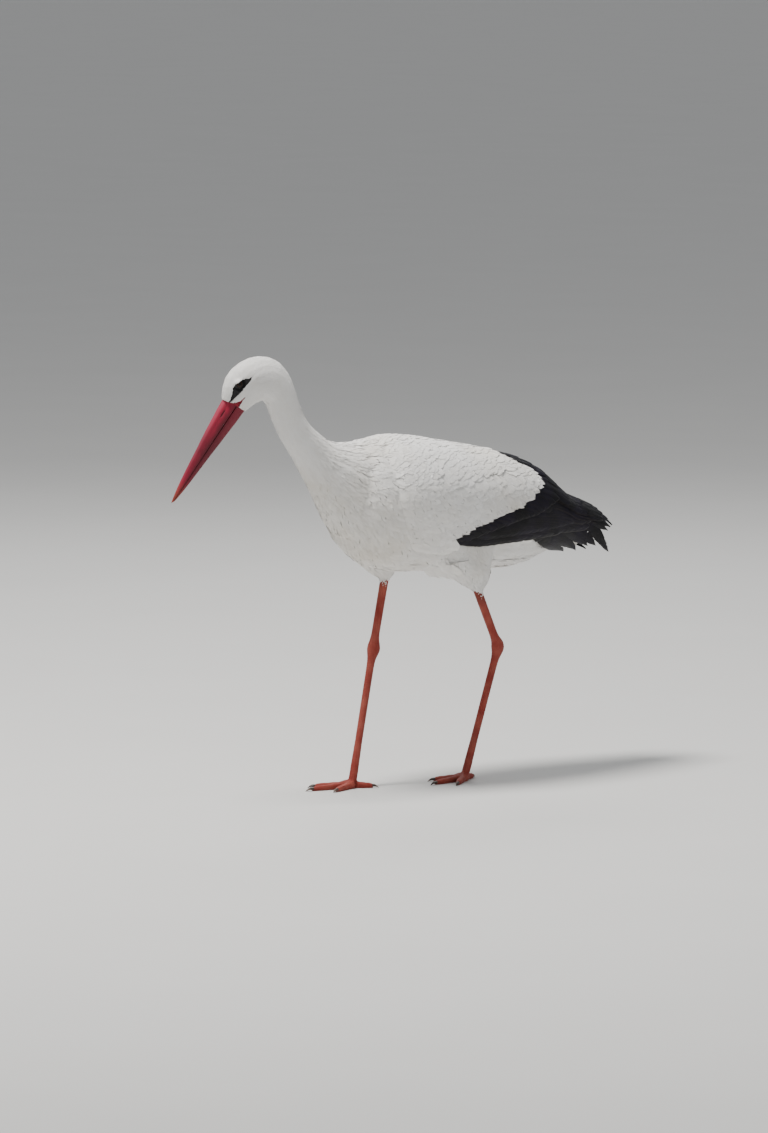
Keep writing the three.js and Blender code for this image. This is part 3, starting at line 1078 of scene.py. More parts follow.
class Spine:
    """A line from the bill through head, neck and trunk to the tail: the lie of the feathers."""

    LINE = (
        (-30.5, -399.2, 625.5), (-28, -392, 639.8), (-25.5, -383.5, 652.4), (-21.5, -371, 661.9),
        (-16.9, -356.3, 665.8), (-12.9, -342.4, 663.1), (-9.8, -330.3, 652.9), (-7.6, -320.9, 636.3),
        (-6, -313.6, 615.7), (-4.4, -302.8, 593), (-3.2, -291, 576.1), (-2.2, -279.5, 563.4),
        (-0.9, -258, 542), (-0.2, -236, 525), (0, -212, 510), (0, -186, 494), (0, -160, 478),
        (0, -110, 462), (0, -40, 452), (0, 60, 446), (0, 150, 437), (0, 220, 422), (0, 300, 398),
        (0, 345, 382),
    )

    def __init__(self) -> None:
        """Measures the line."""
        rough = place(self.LINE)
        size = run_length(rough)
        course = Course(np.column_stack([size, rough]))
        self.length = size[-1]
        self.s = np.linspace(0, self.length, 260)
        self.points = course.at(self.s)
        self.runs = unit(np.gradient(self.points, axis=0))

    def read(self, places: Array) -> tuple[Array, Array, Array]:
        """Reads where some places are along and round the line.

        Args:
            places: Points near the line, as rows.

        Returns:
            The distance along the line, the line's heading there, and the angle round it.
        """
        nearest = np.empty(len(places), int)
        for first in range(0, len(places), 4000):
            block = places[first : first + 4000]
            gap = ((block[:, None] - self.points[None]) ** 2).sum(2)
            nearest[first : first + 4000] = gap.argmin(1)
        run = self.runs[nearest]
        out = places - self.points[nearest]
        over = unit(np.cross(run, (1.0, 0, 0)))
        beside = np.cross(over, run)
        angle = np.arctan2((out * beside).sum(1), (out * over).sum(1))
        return self.s[nearest] + (out * run).sum(1), run, angle

    def map_places(self, places: Array) -> Array:
        """Places on the unwrapped skin: along the line, and round it.

        Args:
            places: Places near the skin.

        Returns:
            A row of two for each place.
        """
        s, _, angle = self.read(places)
        u = np.clip(s / self.length, 0.01, 0.99)
        return np.column_stack([u, (angle / (2 * math.pi) + 0.5) * 0.98 + 0.01])


# ---- Head ----


@dataclass
class Face:
    """The places and bare parts of the head."""

    eye_middle: tuple = (-26.5, -400.1, 660.4)
    bill_base: tuple = (-30.5, -399.2, 625.5)
    bill_tip: tuple = (-62.8, -498, 476.8)
    turn: float = 0.3
    eye_out: float = 12.7 * MM
    eye_radius: float = 8.0 * MM
    opening: float = 5.3 * MM

    BARE = (
        # distance forward of the eye, height of the bare patch's middle and half its height, in millimetres
        (-22, -11.2, 0), (-18, -10, 2.2), (-13, -7.6, 4.7), (-7, -5.2, 6.9), (0, -2.4, 8.3), (6, -2.2, 8.1),
        (12, -2.8, 6.6), (18, -4.0, 4.7), (24, -5.2, 3.2), (30, -6.2, 2.0), (35, -7.5, 0.4),
    )
    FEATHER_EDGE = (
        # height over the bill's axis, and how far forward the feathers reach there, in millimetres
        (-26, -5), (-23.8, -3.9), (-20, -1), (-12, 4), (-6.7, 5.5), (-4.6, 1), (-3.2, -8), (-1.8, -18.5),
        (-0.8, -18.5), (0.8, -13.5), (4.0, -6.0), (9.0, -0.5), (14, 2.4), (22, 3.9),
    )

    def __post_init__(self) -> None:
        """Works out the head's own axes."""
        self.left = np.array([math.cos(self.turn), -math.sin(self.turn), 0])
        self.base, self.tip = place([self.bill_base])[0], place([self.bill_tip])[0]
        self.forward = unit(self.tip - self.base)
        self.crown = unit(np.cross(self.forward, self.left))
        self.middle = place([self.eye_middle])[0]

    def eye(self, sign: int) -> Array:
        """The middle of one eye."""
        return self.middle + self.left * sign * self.eye_out

    def read(self, points: Array) -> tuple[Array, Array, Array]:
        """Each point's distance forward of the eyes, towards the crown and to the left, in millimetres."""
        off = (points - self.middle) / MM
        return off @ self.forward, off @ self.crown, off @ self.left

    def from_bill(self, points: Array) -> tuple[Array, Array, Array]:
        """Each point's distance forward of the bill's base, up from its axis and to the left, in metres."""
        off = points - self.base
        return off @ self.forward, off @ self.crown, off @ self.left

    def bare(self, points: Array, blur: float = 0.8) -> Array:
        """How far each point is on the bare black skin round the eye, 0 to 1.

        Args:
            points: Places on the head.
            blur: How soft the edge is, in millimetres.

        Returns:
            A share for each place.
        """
        forward, up, _ = self.read(points)
        axis, half = (table_at(forward, self.BARE, k) for k in (1, 2))
        return ease(half - np.abs(up - axis), -blur, blur) * (np.abs(forward) < 36) * (points[:, 2] > 0.6)

    def gape(self, points: Array) -> Array:
        """How far each point is on the bare red skin between the bill and the feathers, 0 to 1.

        Args:
            points: Places on the head.

        Returns:
            A share for each place.
        """
        ahead, up, _ = self.from_bill(points)
        past = ahead / MM - table_at(up / MM, self.FEATHER_EDGE)
        return ease(past, -0.5, 0.9) * (np.abs(up) < 0.034) * (ahead > -0.024)


@dataclass
class Eyes:
    """The two eyeballs and the thin dark rims of their lids."""

    face: Face
    rings: int = 40
    spokes: int = 56
    cornea: float = 0.5 * MM
    rim_radius: float = 0.34 * MM
    rim_steps: int = 72
    rim_sides: int = 10

    def ball(self, side: str) -> None:
        """Makes one eyeball.

        Args:
            side: Left or right.
        """
        face, eye = self.face, self.face.eye(SIDES[side])
        axis = face.left * SIDES[side]
        polar = np.linspace(0, math.pi, self.rings + 1)[1:-1, None, None]
        turn = full_turn(self.spokes)[:, None]
        radius = face.eye_radius + self.cornea * np.exp(-((polar / 0.62) ** 2))
        round_axis = face.crown * np.cos(turn) + np.cross(axis, face.crown) * np.sin(turn)
        rings = (axis * np.cos(polar) + round_axis * np.sin(polar)) * radius
        front, back = axis * (face.eye_radius + self.cornea), -axis * face.eye_radius
        values = {
            "ring": np.concatenate([np.repeat(polar, self.spokes), [0, math.pi]]),
            "spoke": np.concatenate([np.tile(turn.ravel(), self.rings - 1), [0, 0]]),
        }
        piece = make_object(f"eyeball_{side}", tube(eye + rings, eye + front, eye + back), values)
        dress(piece, EyeGloss(f"eye_gloss_{side}").make(), "eye", f"eye_{side}")

    def rim(self, side: str, material: Material) -> None:
        """Makes the lid's rim round one eye: a thin closed ring of skin, pointed fore and aft.

        Args:
            side: Left or right.
            material: The skin's finish.
        """
        face, eye = self.face, self.face.eye(SIDES[side])
        turn = full_turn(self.rim_steps)
        along = np.cos(turn)
        reach = face.opening * (1.0 + 0.10 * np.abs(along) ** 3)
        flat = np.outer(along * reach, face.forward) + np.outer(np.sin(turn) * reach * 0.93, face.crown)
        out = np.sqrt((face.eye_radius + 0.25 * MM) ** 2 - (flat**2).sum(1))
        middle = eye + flat + np.outer(out, face.left * SIDES[side])
        outward = unit(middle - eye)
        run = unit(np.roll(middle, -1, 0) - np.roll(middle, 1, 0))
        side_way = unit(np.cross(run, outward))
        sweep = full_turn(self.rim_sides)[:, None]
        thick = self.rim_radius * (1 + 0.25 * np.sin(turn * 3 + 0.6))
        wrap = outward[:, None] * np.cos(sweep) + side_way[:, None] * 1.5 * np.sin(sweep)
        ring = middle[:, None] + thick[:, None, None] * wrap
        grid = np.arange(self.rim_steps * self.rim_sides).reshape(ring.shape[:2])
        shell = Shell(ring.reshape(-1, 3), faces_between(np.pad(grid, ((0, 1), (0, 1)), "wrap")))
        values = {key: np.full(grid.size, float(key == "bare")) for key in SKIN_NUMBERS}
        dress(make_object(f"eyelid_rim_{side}", shell, values), material, "white_plumage")


@dataclass
class Bill:
    """The two mandibles, with the culmen's ridge, the nostrils and the cutting edges."""

    face: Face
    rings: int = 230
    sides: int = 112
    upper: tuple = (
        (-0.05, 12.6, 19.4, 2.4, 1.2), (0.1, 11.2, 18.4, 2, 1), (0.3, 9, 15.9, 1.8, 0.9),
        (0.55, 6.8, 11.6, 1.5, 0.7), (0.8, 4.4, 7, 1.1, 0.6), (0.95, 2.2, 2.8, 0.8, 0.5),
        (1, 0.9, 1.1, 0.5, 0.4),
    )
    lower: tuple = (
        (-0.05, 12, 0.8, 18.4, -1.6), (0.1, 10.6, 0.8, 17, -1.4), (0.3, 8.4, 0.8, 13.8, -1.2),
        (0.55, 6.1, 0.8, 9.6, -1), (0.8, 3.9, 0.7, 5.6, -0.9), (0.94, 2, 0.6, 2.4, -0.8),
        (0.985, 0.8, 0.4, 1.0, -0.7),
    )
    nostril: tuple = (0.075, 0.165)

    def half(self, name: str, rows: tuple, is_upper: bool, material: Material) -> None:
        """Makes one mandible.

        Args:
            name: The frame's node that it stands for.
            rows: Stations as shares of the bill's length, with half width, rise, drop and offset.
            is_upper: Whether it is the upper mandible.
            material: Its finish.
        """
        face = self.face
        size = np.linalg.norm(face.tip - face.base)
        share = np.linspace(rows[0][0], rows[-1][0], self.rings)[:, None]
        half, rise, drop, offset = np.moveaxis(Course(rows).at(share) * MM, -1, 0)
        turn = full_turn(self.sides)[None]
        cos, sin = np.cos(turn), np.sin(turn)
        roof = np.abs(sin) ** 1.06
        x = half * np.sign(cos) * np.abs(cos) ** 0.86
        y = np.where(sin > 0, rise, -drop) * roof
        outer = sin > 0 if is_upper else sin < 0
        level = np.where(outer, roof, 0)
        slot = np.zeros_like(x)
        if is_upper:
            first, last = self.nostril
            slot = np.exp(-(((level - 0.55) / 0.045) ** 2))
            slot = slot * ease(1 - np.abs(2 * share - first - last) / (last - first), 0, 0.5)
            trough = np.exp(-(((level - 0.55) / 0.15) ** 2)) * (1 - ease(share, 0.14, 0.42)) * 0.7
        else:
            trough = np.exp(-(((level - 0.6) / 0.2) ** 2)) * (1 - ease(share, 0.2, 0.7)) * 0.5
        x = x - np.sign(cos) * outer * (slot * 1.5 + trough) * MM
        wave = np.sin(share * 61 + np.abs(cos) * 5) * 0.4 + np.sin(share * 23 + cos)
        fine = np.sin(turn * 26 + share * 4) * (1 - share.clip(0, 1))
        spread = 1 + 0.006 * wave + 0.004 * fine
        corners = (
            face.base
            + face.forward * (share * size)[..., None]
            + face.left * (x * spread)[..., None]
            + face.crown * (y * spread + offset)[..., None]
        )
        point = face.base + face.forward * (share[-1] * size + 0.8 * MM) + face.crown * offset[-1]
        back = face.base + face.forward * share[0] * size
        # painted shade along the line where the mandibles meet; with the nostril grooves it darkens the
        # horn's colour
        edge = np.exp(-((sin / 0.10) ** 2)) * 0.4 * (np.abs(cos) > 0.5)
        values = {
            "along": np.concatenate([np.repeat(share.clip(0, 1), self.sides), [0, 1]]),
            "culmen": np.concatenate([np.broadcast_to(level * is_upper, x.shape).ravel(), [0, 1]]),
            "cleft_shade": np.concatenate([np.maximum(slot * 0.9, edge).ravel(), [0, 0]]),
        }
        dress(make_object(f"{name}_horn", tube(corners, back, point), values), material, "bill", name)

    def build(self) -> None:
        """Makes both mandibles."""
        material = BillHorn().make()
        self.half("bill_upper", self.upper, True, material)
        self.half("bill_lower", self.lower, False, material)


# ---- Skin ----

WHITE_EDGE = (
    # height, and the station where the white coverts end at that height
    (372, -24), (380, -24), (392, -26), (404, -24), (418, 12), (433, 57), (443, 107), (466, 158), (478, 176),
    (489, 175), (504, 146), (517, 118), (532, 110), (600, 104),
)


def white_limit(z: Array) -> Array:
    """The station of the edge between the white coverts and the black feathers, at heights in metres."""
    return table_at(z / MM, WHITE_EDGE)


@dataclass
class Legs:
    """Where the legs' joints are, for their scales."""

    left: tuple = ((47, 49, 309), (43, 98, 214), (23, 46, 13))
    right: tuple = ((-47, -66, 329), (-46, -92, 218), (-28, -152, 13))
    rings: int = 120
    sides: int = 32
    toe_top: float = 0.03

    SHANK = (
        # distance past the ankle and radius, in millimetres
        (-130, 6.4), (-30, 6.0), (0, 6.0), (40, 5.5), (150, 5.3), (200, 6.2), (230, 7.0),
    )

    def joints(self, side: str) -> Array:
        """The leg's feather edge, ankle and foot, in metres."""
        return place(self.left if side == "left" else self.right)

    def stem(self, side: str) -> Shell:
        """One bare leg from inside the thigh to the foot, with the knob of its ankle.

        Args:
            side: Left or right.

        Returns:
            A closed shell.
        """
        edge, ankle, foot = self.joints(side)
        knots = np.array([edge + (edge - ankle) * 0.22, edge, ankle, foot])
        size = run_length(knots)
        h = np.linspace(0, size[-1], self.rings)
        line = np.stack([np.interp(h, size, knots[:, k]) for k in range(3)], 1)
        for _ in range(12):
            line[1:-1] = 0.5 * line[1:-1] + 0.25 * (line[:-2] + line[2:])
        run = unit(np.gradient(line, axis=0))
        across = unit(np.cross(run, (0, 1.0, 0.0)))
        from_ankle = (h - size[2]) / MM
        knob = np.exp(-((from_ankle / 13.0) ** 2))[:, None]
        shank = table_at(from_ankle, self.SHANK)[:, None]
        turn = full_turn(self.sides)
        wide = (shank + 3.0 * knob) * MM * np.cos(turn)
        deep = (shank + 4.6 * knob + 0.6) * MM * np.sin(turn) - 1.2 * knob * MM
        fore = np.cross(run, across)
        rings = line[:, None] + across[:, None] * wide[..., None] + fore[:, None] * deep[..., None]
        return tube(rings, line[0], line[-1])

    def scales(self, points: Array) -> Array:
        """The height of the legs' scales.

        Args:
            points: Places on the legs and feet.

        Returns:
            A height in metres for each place.
        """
        out = np.zeros(len(points))
        for side, sign in SIDES.items():
            mine = points[:, 0] * sign > 0
            high = points[:, 2] > self.toe_top
            edge, ankle, foot = self.joints(side)
            for a, b, pitch in ((edge, ankle, 3.4 * MM), (ankle, foot, 3.8 * MM)):
                size = np.linalg.norm(b - a)
                run = (b - a) / size
                h = (points - a) @ run
                out_from = points - a - h[:, None] * run
                round_it = np.arctan2(out_from[:, 0], out_from[:, 1]) * 6.0 * MM
                row = h / pitch
                brick = round_it / (pitch * 1.15) + 0.5 * (np.floor(row) % 2)
                pad = (1 - (2 * (row % 1) - 1) ** 4) * (1 - (2 * (brick % 1) - 1) ** 4)
                out = np.where(mine & high & (h > -0.01) & (h < size), pad * 0.32 * MM, out)
            away = np.hypot(points[:, 0] - foot[0], points[:, 1] - foot[1])
            scute = 1 - np.abs(2 * ((away / (4.2 * MM)) % 1) - 1) ** 5
            top = ease(points[:, 2], 3.5 * MM, 7 * MM)
            out = np.where(mine & ~high & (away > 0.008), scute * top * 0.40 * MM, out)
        return out


@dataclass
class Skin:
    """One skin for all the flesh: it lies under the plumage and is bare on face and legs."""

    frame: dict
    face: Face
    spine: Spine
    legs: Legs
    body_voxel: float = 2.4 * MM
    head_voxel: float = 0.9 * MM
    leg_voxel: float = 0.95 * MM

    FLESH = ("neck_upper", "neck_lower", "trunk", "tail", "thigh_left", "thigh_right")
    WINGS = ("wing_coverts", "wing_tertials", "wing_flight")
    LIMB = ("tibia", "ankle", "tarsus", "toe_middle", "toe_inner", "toe_outer", "toe_hind")
    DEPTHS = (
        # distance from the bill and depth of the skin, in millimetres
        (-20, 0.6), (0, 0.9), (30, 1.8), (95, 3.0), (200, 4.0), (300, 5.6), (420, 6.5), (900, 6.5),
    )

    def nodes(self, names: Iterable[str]) -> list[Piece]:
        """The frame's objects with those names."""
        return [self.frame["nodes"][n] for n in names]

    def both(self, names: Iterable[str]) -> list[str]:
        """Each name with left and with right."""
        return [f"{n}_{side}" for n in names for side in SIDES]

    def outer(self) -> Surface:
        """The bird's true outline, that the feathers' tips reach."""
        names = ["head", "eye_left", "eye_right", *self.FLESH, *self.both(self.WINGS)]
        return Surface(fuse(self.nodes(names), 0.5 * MM, 2.0 * MM, 5))

    def depth(self, points: Array) -> Array:
        """How deep the skin lies under the plumage's outline, in metres."""
        return table_at(self.spine.read(points)[0] / MM, self.DEPTHS) * MM

    def body(self) -> Shell:
        """The feathered trunk, neck, thighs and wings.

        Returns:
            A closed shell.
        """
        names = [*self.FLESH, *self.both(self.WINGS)]
        shell = fuse(self.nodes(names), 0.5 * MM, self.body_voxel, 4)
        normals = unit(shell.spread(shell.normals(), 4))
        corners = shell.corners
        depth = self.depth(corners)
        behind = station(corners)
        corners[:, 1] -= np.maximum(behind - 262, 0) * 0.6 * (np.abs(corners[:, 0]) < 0.042) * MM
        for thin in (ease(behind, 170, 260), 1 - ease(corners[:, 2], 0.315, 0.36)):
            depth = depth * (1 - thin) + 3.0 * MM * thin
        return Shell(corners - normals * (depth + 0.5 * MM)[:, None], shell.quads)

    def head(self) -> Shell:
        """The head, with the bare skin, the lids and the folds at the mouth.

        Returns:
            A closed shell.
        """
        face = self.face
        nodes = self.nodes(["head", "neck_upper", "eye_left", "eye_right"])
        shell = fuse(nodes, 0.35 * MM, self.head_voxel, 6)
        normals = unit(shell.spread(shell.normals(), 3))
        bare, gape = face.bare(shell.corners, 1.6), face.gape(shell.corners)
        depth = self.depth(shell.corners) * (1 - np.maximum(bare, gape)) + (0.35 + 0.45 * bare) * MM
        corners = shell.corners - normals * depth[:, None]
        corners = self.drawn_to_bill(corners)
        fold = np.sin(ripple(corners, 5 * MM, 3) * 3) * 0.14 * MM * np.maximum(bare, gape)
        corners += normals * fold[:, None]
        for sign in SIDES.values():
            corners = self.lid(corners, sign)
        return Shell(corners, shell.quads)

    def drawn_to_bill(self, corners: Array) -> Array:
        """Draws the front of the head in, until it meets the horn of the bill.

        Args:
            corners: The head's corners.

        Returns:
            The moved corners.
        """
        face = self.face
        ahead, up, left = face.from_bill(corners)
        near = (np.abs(ahead) < 0.03) & (corners[:, 2] > 0.59)
        pull = ease(ahead, -17 * MM, -1.5 * MM) * near
        within = ease(ahead, -2.5 * MM, 0.5 * MM) * 0.07
        inward = face.left * (left * (0.18 * pull + within * near))[:, None]
        return corners - inward - face.crown * (up * (0.06 * pull + within * near))[:, None]

    def lid(self, corners: Array, sign: int) -> Array:
        """Opens the skin over one eye and rounds the lids over the eyeball.

        Args:
            corners: The head's corners.
            sign: 1 for the left eye and -1 for the right.

        Returns:
            The moved corners.
        """
        face = self.face
        middle, axis = face.eye(sign), face.left * sign
        off = corners - middle
        out = off @ axis
        reach = np.linalg.norm(off - out[:, None] * axis, axis=1)
        past = reach - face.opening
        ball = np.sqrt(np.maximum((face.eye_radius + 0.1 * MM) ** 2 - reach**2, 0))
        swelling = 0.35 * MM * np.exp(-(((past - 1.0 * MM) / (1.5 * MM)) ** 2))
        crease = -0.3 * MM * np.exp(-(((past - 3.0 * MM) / (0.7 * MM)) ** 2))
        on_lid = 1 - ease(past, 0.6 * MM, 5.8 * MM)
        wanted = out * (1 - on_lid) + (ball + swelling) * on_lid + crease
        hollow = np.sqrt(np.maximum((face.eye_radius - 1.8 * MM) ** 2 - reach**2, 0))
        wanted = np.where(past < 0, hollow, wanted)
        near = (out > 0) & (reach < 13 * MM)
        return corners + axis * np.where(near, wanted - out, 0)[:, None]

    def limbs(self) -> Shell:
        """The bare legs and feet, with their scales.

        Returns:
            A closed shell for each leg, as one.
        """
        shells = []
        for side in SIDES:
            stem = make_object(f"stem_{side}", self.legs.stem(side))
            toes = [f"{n}_{side}" for n in self.LIMB if n.startswith("toe")]
            shell = fuse([stem, *self.nodes(toes)], 1.3 * MM, self.leg_voxel, 4)
            bpy.data.objects.remove(stem)
            foot = self.legs.joints(side)[2]
            away = np.linalg.norm(shell.corners - foot, axis=1)
            shell = shell.relaxed(30, 1 - ease(away, 18 * MM, 30 * MM))
            corners = shell.corners - unit(shell.spread(shell.normals(), 3)) * 1.4 * MM
            lift = self.legs.scales(corners)
            corners = corners + shell.normals() * lift[:, None]
            corners[:, 2] = np.maximum(corners[:, 2], 0.05 * MM)
            shells.append(Shell(corners, shell.quads))
        return Shell.joined(shells)

    def build(self) -> Piece:
        """Makes the skin and its markings.

        Returns:
            The skin's object.
        """
        parts = [self.body(), self.head(), self.limbs()]
        whole = Shell.joined(parts)
        corners = whole.corners
        part = np.repeat(range(3), [len(p.corners) for p in parts])
        is_head, is_leg = part == 1, part == 2
        behind = ease(station(corners) - white_limit(corners[:, 2]), -2, 6)
        far_out = (station(corners) > 150) & (np.abs(corners[:, 0]) > 0.045)
        black = behind * (corners[:, 2] > np.where(far_out, 0.350, 0.392)) * (part == 0)
        bare, gape = self.face.bare(corners) * is_head, self.face.gape(corners) * is_head
        values = dict(zip(SKIN_NUMBERS, (bare, gape, is_leg, black)))
        piece = make_object("skin", whole, values)
        nodes = ["head", *self.FLESH, *self.both(self.WINGS), *self.both(self.LIMB)]
        dress(piece, BirdSkin().make(), "white_plumage", *nodes)
        return piece


# ---- Plumage of head, neck, body and thighs ----


@dataclass
class BodyPlumage:
    """White contour feathers, from the shortest at the bill to the long ones of breast and rump."""

    outer: Surface
    spine: Spine
    face: Face
    frame: dict
    legs: Legs

    SIZES = (
        # distance from the bill, spacing, length, half width and depth of the root, in millimetres
        (0, 1.2, 6.5, 1.1, 0.8), (25, 1.45, 9.5, 1.4, 1.2), (60, 1.7, 14, 1.8, 1.8),
        (95, 1.95, 18, 2.1, 2.3), (135, 2.2, 23, 2.45, 2.7), (200, 2.75, 31, 3.2, 3.3),
        (260, 3.4, 38, 4.2, 4.0), (320, 4.3, 42, 5.7, 4.6), (400, 5.5, 42, 7.4, 5.0),
        (600, 6.0, 42, 8.4, 5.0), (740, 6.2, 46, 8.4, 5.0), (900, 6.2, 48, 8.4, 5.0),
    )
    PIECES = (
        ("plumage_head", 0.10), ("plumage_nape", 0.20), ("plumage_neck", 0.30), ("plumage_breast", 0.44),
        ("plumage_body", 9.0),
    )
    SINK = (
        # distance from the bill in millimetres, and how much the feathers turn downwards there
        (0, 0), (180, 0.05), (260, 0.25), (330, 0.35), (430, 0.16), (700, 0.06), (860, 0),
    )
    RUMP = ((150, 72), (200, 52), (235, 39), (265, 34), (300, 34))
    CUTS = (
        # distance from the bill where a cut begins, in metres, and the cut
        (-1.0, VaneCut(Outline.LANCE, 5, 2, 0.06, 0.07, 0.08, 0.14, tilt=0.03)),
        (0.1, VaneCut(Outline.LANCE, 7, 2, 0.05, 0.07, 0.07, 0.14, tilt=0.035)),
        (0.24, VaneCut(Outline.LANCE, 8, 4, 0.04, 0.06, 0.06, 0.14, tilt=0.035)),
        (0.33, VaneCut(Outline.CONTOUR, 7, 4, 0.04, 0.05, 0.05, 0.10, tilt=0.035)),
    )

    def sizes(self, points: Array) -> Array:
        """Spacing, length, half width and depth at some places, in metres.

        Args:
            points: Places on the outline.

        Returns:
            A row of four for each place.
        """
        s = self.spine.read(points)[0] / MM
        return np.stack([table_at(s, self.SIZES, k) for k in range(1, 5)], 1) * MM

    def __post_init__(self) -> None:
        """Prepares the search for the nearest node."""
        self.wing_tree = self.tree([f"{n}_{s}" for n in Skin.WINGS for s in SIDES])
        self.rest_tree = self.tree(["head", *Skin.FLESH])

    def on_wing(self, points: Array) -> Array:
        """Whether each place is on a folded wing, which has its own feathers.

        Args:
            points: Places on the outline.

        Returns:
            True for each place on a wing.
        """
        out = np.empty(len(points), bool)
        for i, p in enumerate(points.tolist()):
            out[i] = self.wing_tree.find_nearest(p)[3] < self.rest_tree.find_nearest(p)[3]
        return out

    def tree(self, names: Sequence[str]) -> BVHTree:
        """A search tree of some of the frame's nodes.

        Args:
            names: The nodes.

        Returns:
            Their search tree.
        """
        corners, faces = [], []
        for name in names:
            mesh = self.frame["nodes"][name].data
            start = len(corners)
            corners += [v.co[:] for v in mesh.vertices]
            faces += [[start + i for i in f.vertices] for f in mesh.polygons]
        return BVHTree.FromPolygons(corners, faces)

    def wanted(self, points: Array) -> Array:
        """Where white body feathers grow.

        Args:
            points: Places on the outline.

        Returns:
            True for each place that has them.
        """
        x, y, z = points.T
        behind = station(points)
        thigh = z < 0.332
        for side, sign in SIDES.items():
            edge = self.legs.joints(side)[0]
            near = np.hypot(x - edge[0], 0.75 * (y - edge[1] + 0.012)) < 0.033
            beside = (np.abs(y - edge[1] + 0.022) < 0.052) & (x * sign > 0.050)
            draped = beside & (z > edge[2] + 0.028) & (z < edge[2] + 0.072)
            thigh |= near & (z < 0.350) | draped
        wing = self.on_wing(points) & (behind > -118)
        hidden = (behind > 118) & (z > 0.43) | (behind > 272)
        bare = (self.face.bare(points) > 0.4) | (self.face.gape(points) > 0.3)
        return ~wing & ~thigh & ~hidden & ~bare & ~self.under_wing(points)

    def under_wing(self, points: Array) -> Array:
        """Whether each place is out under a wing's rear edge, beside the rump.

        Args:
            points: Places near the outline.

        Returns:
            True for each place under the edge.
        """
        behind = station(points)
        half = table_at(behind, self.RUMP) * MM
        return (behind > 150) & (np.abs(points[:, 0]) > half) & (points[:, 2] > 0.352)

    def headings(self, points: Array, normals: Array) -> Array:
        """The lie of the feathers: along the spine, sinking a little on breast and flank.

        Args:
            points: The feathers' roots.
            normals: The surface's normals there.

        Returns:
            A heading for each root.
        """
        s, run, _ = self.spine.read(points)
        way = run.copy()
        way[:, 2] -= table_at(s / MM, self.SINK)
        return flattened(way, normals)

    def build(self, material: Material) -> None:
        """Lays all the body's feathers and makes the pieces.

        Args:
            material: Their finish.
        """
        rng = np.random.default_rng(11)
        roots = self.outer.scatter(lambda p: self.sizes(p)[:, 0], self.wanted, 5)
        _, length, half, depth = self.sizes(roots).T
        _, normals = self.outer.nearest(roots)
        way = self.headings(roots, normals)
        swirl = np.stack([ripple(roots, 0.03, k) for k in (1, 2, 3)], 1)
        way = unit(way + rng.normal(size=way.shape) * 0.075 + swirl * 0.05)
        length = length * rng.uniform(0.8, 1.2, len(roots))
        length, clear = self.kept_off_bare_skin(roots, way, length)
        s = self.spine.read(roots)[0]
        starts = [start for start, _ in self.CUTS]
        kind = np.searchsorted(starts, s + rng.normal(size=len(s)) * 0.01, side="right") - 1
        piece = np.searchsorted([limit for _, limit in self.PIECES], s / self.spine.length, side="right")
        for place_in_row, (name, _) in enumerate(self.PIECES):
            coat = Coat(name)
            for number, (_, cut) in enumerate(self.CUTS):
                mine = clear & (piece == place_in_row) & (kind == number)
                if not mine.any():
                    continue
                spots, turned = self.outer.trace(roots[mine], way[mine], length[mine], cut.rings)
                deep = depth[mine, None]
                top = rng.uniform(-0.1, 0.25, (mine.sum(), 1)) * (0.10 * deep + 0.25 * MM)
                heights = rising(0.65 * deep, top, cut.rings)
                heights += (folds(roots[mine], 1.2 * MM, 70) * ease(s[mine], 0.12, 0.34))[:, None]
                coat.lay(spots, turned, half[mine], heights, cut, self.spine.map_places(roots[mine]), rng)
            coat.build(material, "white_plumage")

    def kept_off_bare_skin(self, roots: Array, way: Array, length: Array) -> tuple:
        """Shortens the feathers that would lie over the bare skin of the face.

        Args:
            roots: The feathers' roots.
            way: Their headings.
            length: Their lengths.

        Returns:
            The new lengths, and whether each feather is kept.
        """
        length = length.copy()
        face = np.nonzero(np.linalg.norm(roots - self.face.middle, axis=1) < 0.06)[0]
        clear = np.ones(len(roots), bool)
        for _ in range(3):
            tips, _ = self.outer.nearest(roots[face] + way[face] * length[face, None] * 0.85)
            over = self.face.bare(tips) > 0.35
            length[face[over]] *= 0.62
        tips, _ = self.outer.nearest(roots[face] + way[face] * length[face, None] * 0.8)
        clear[face[self.face.bare(tips) > 0.5]] = False
        clear[self.under_wing(roots + way * length[:, None] * 0.8)] = False
        return length, clear


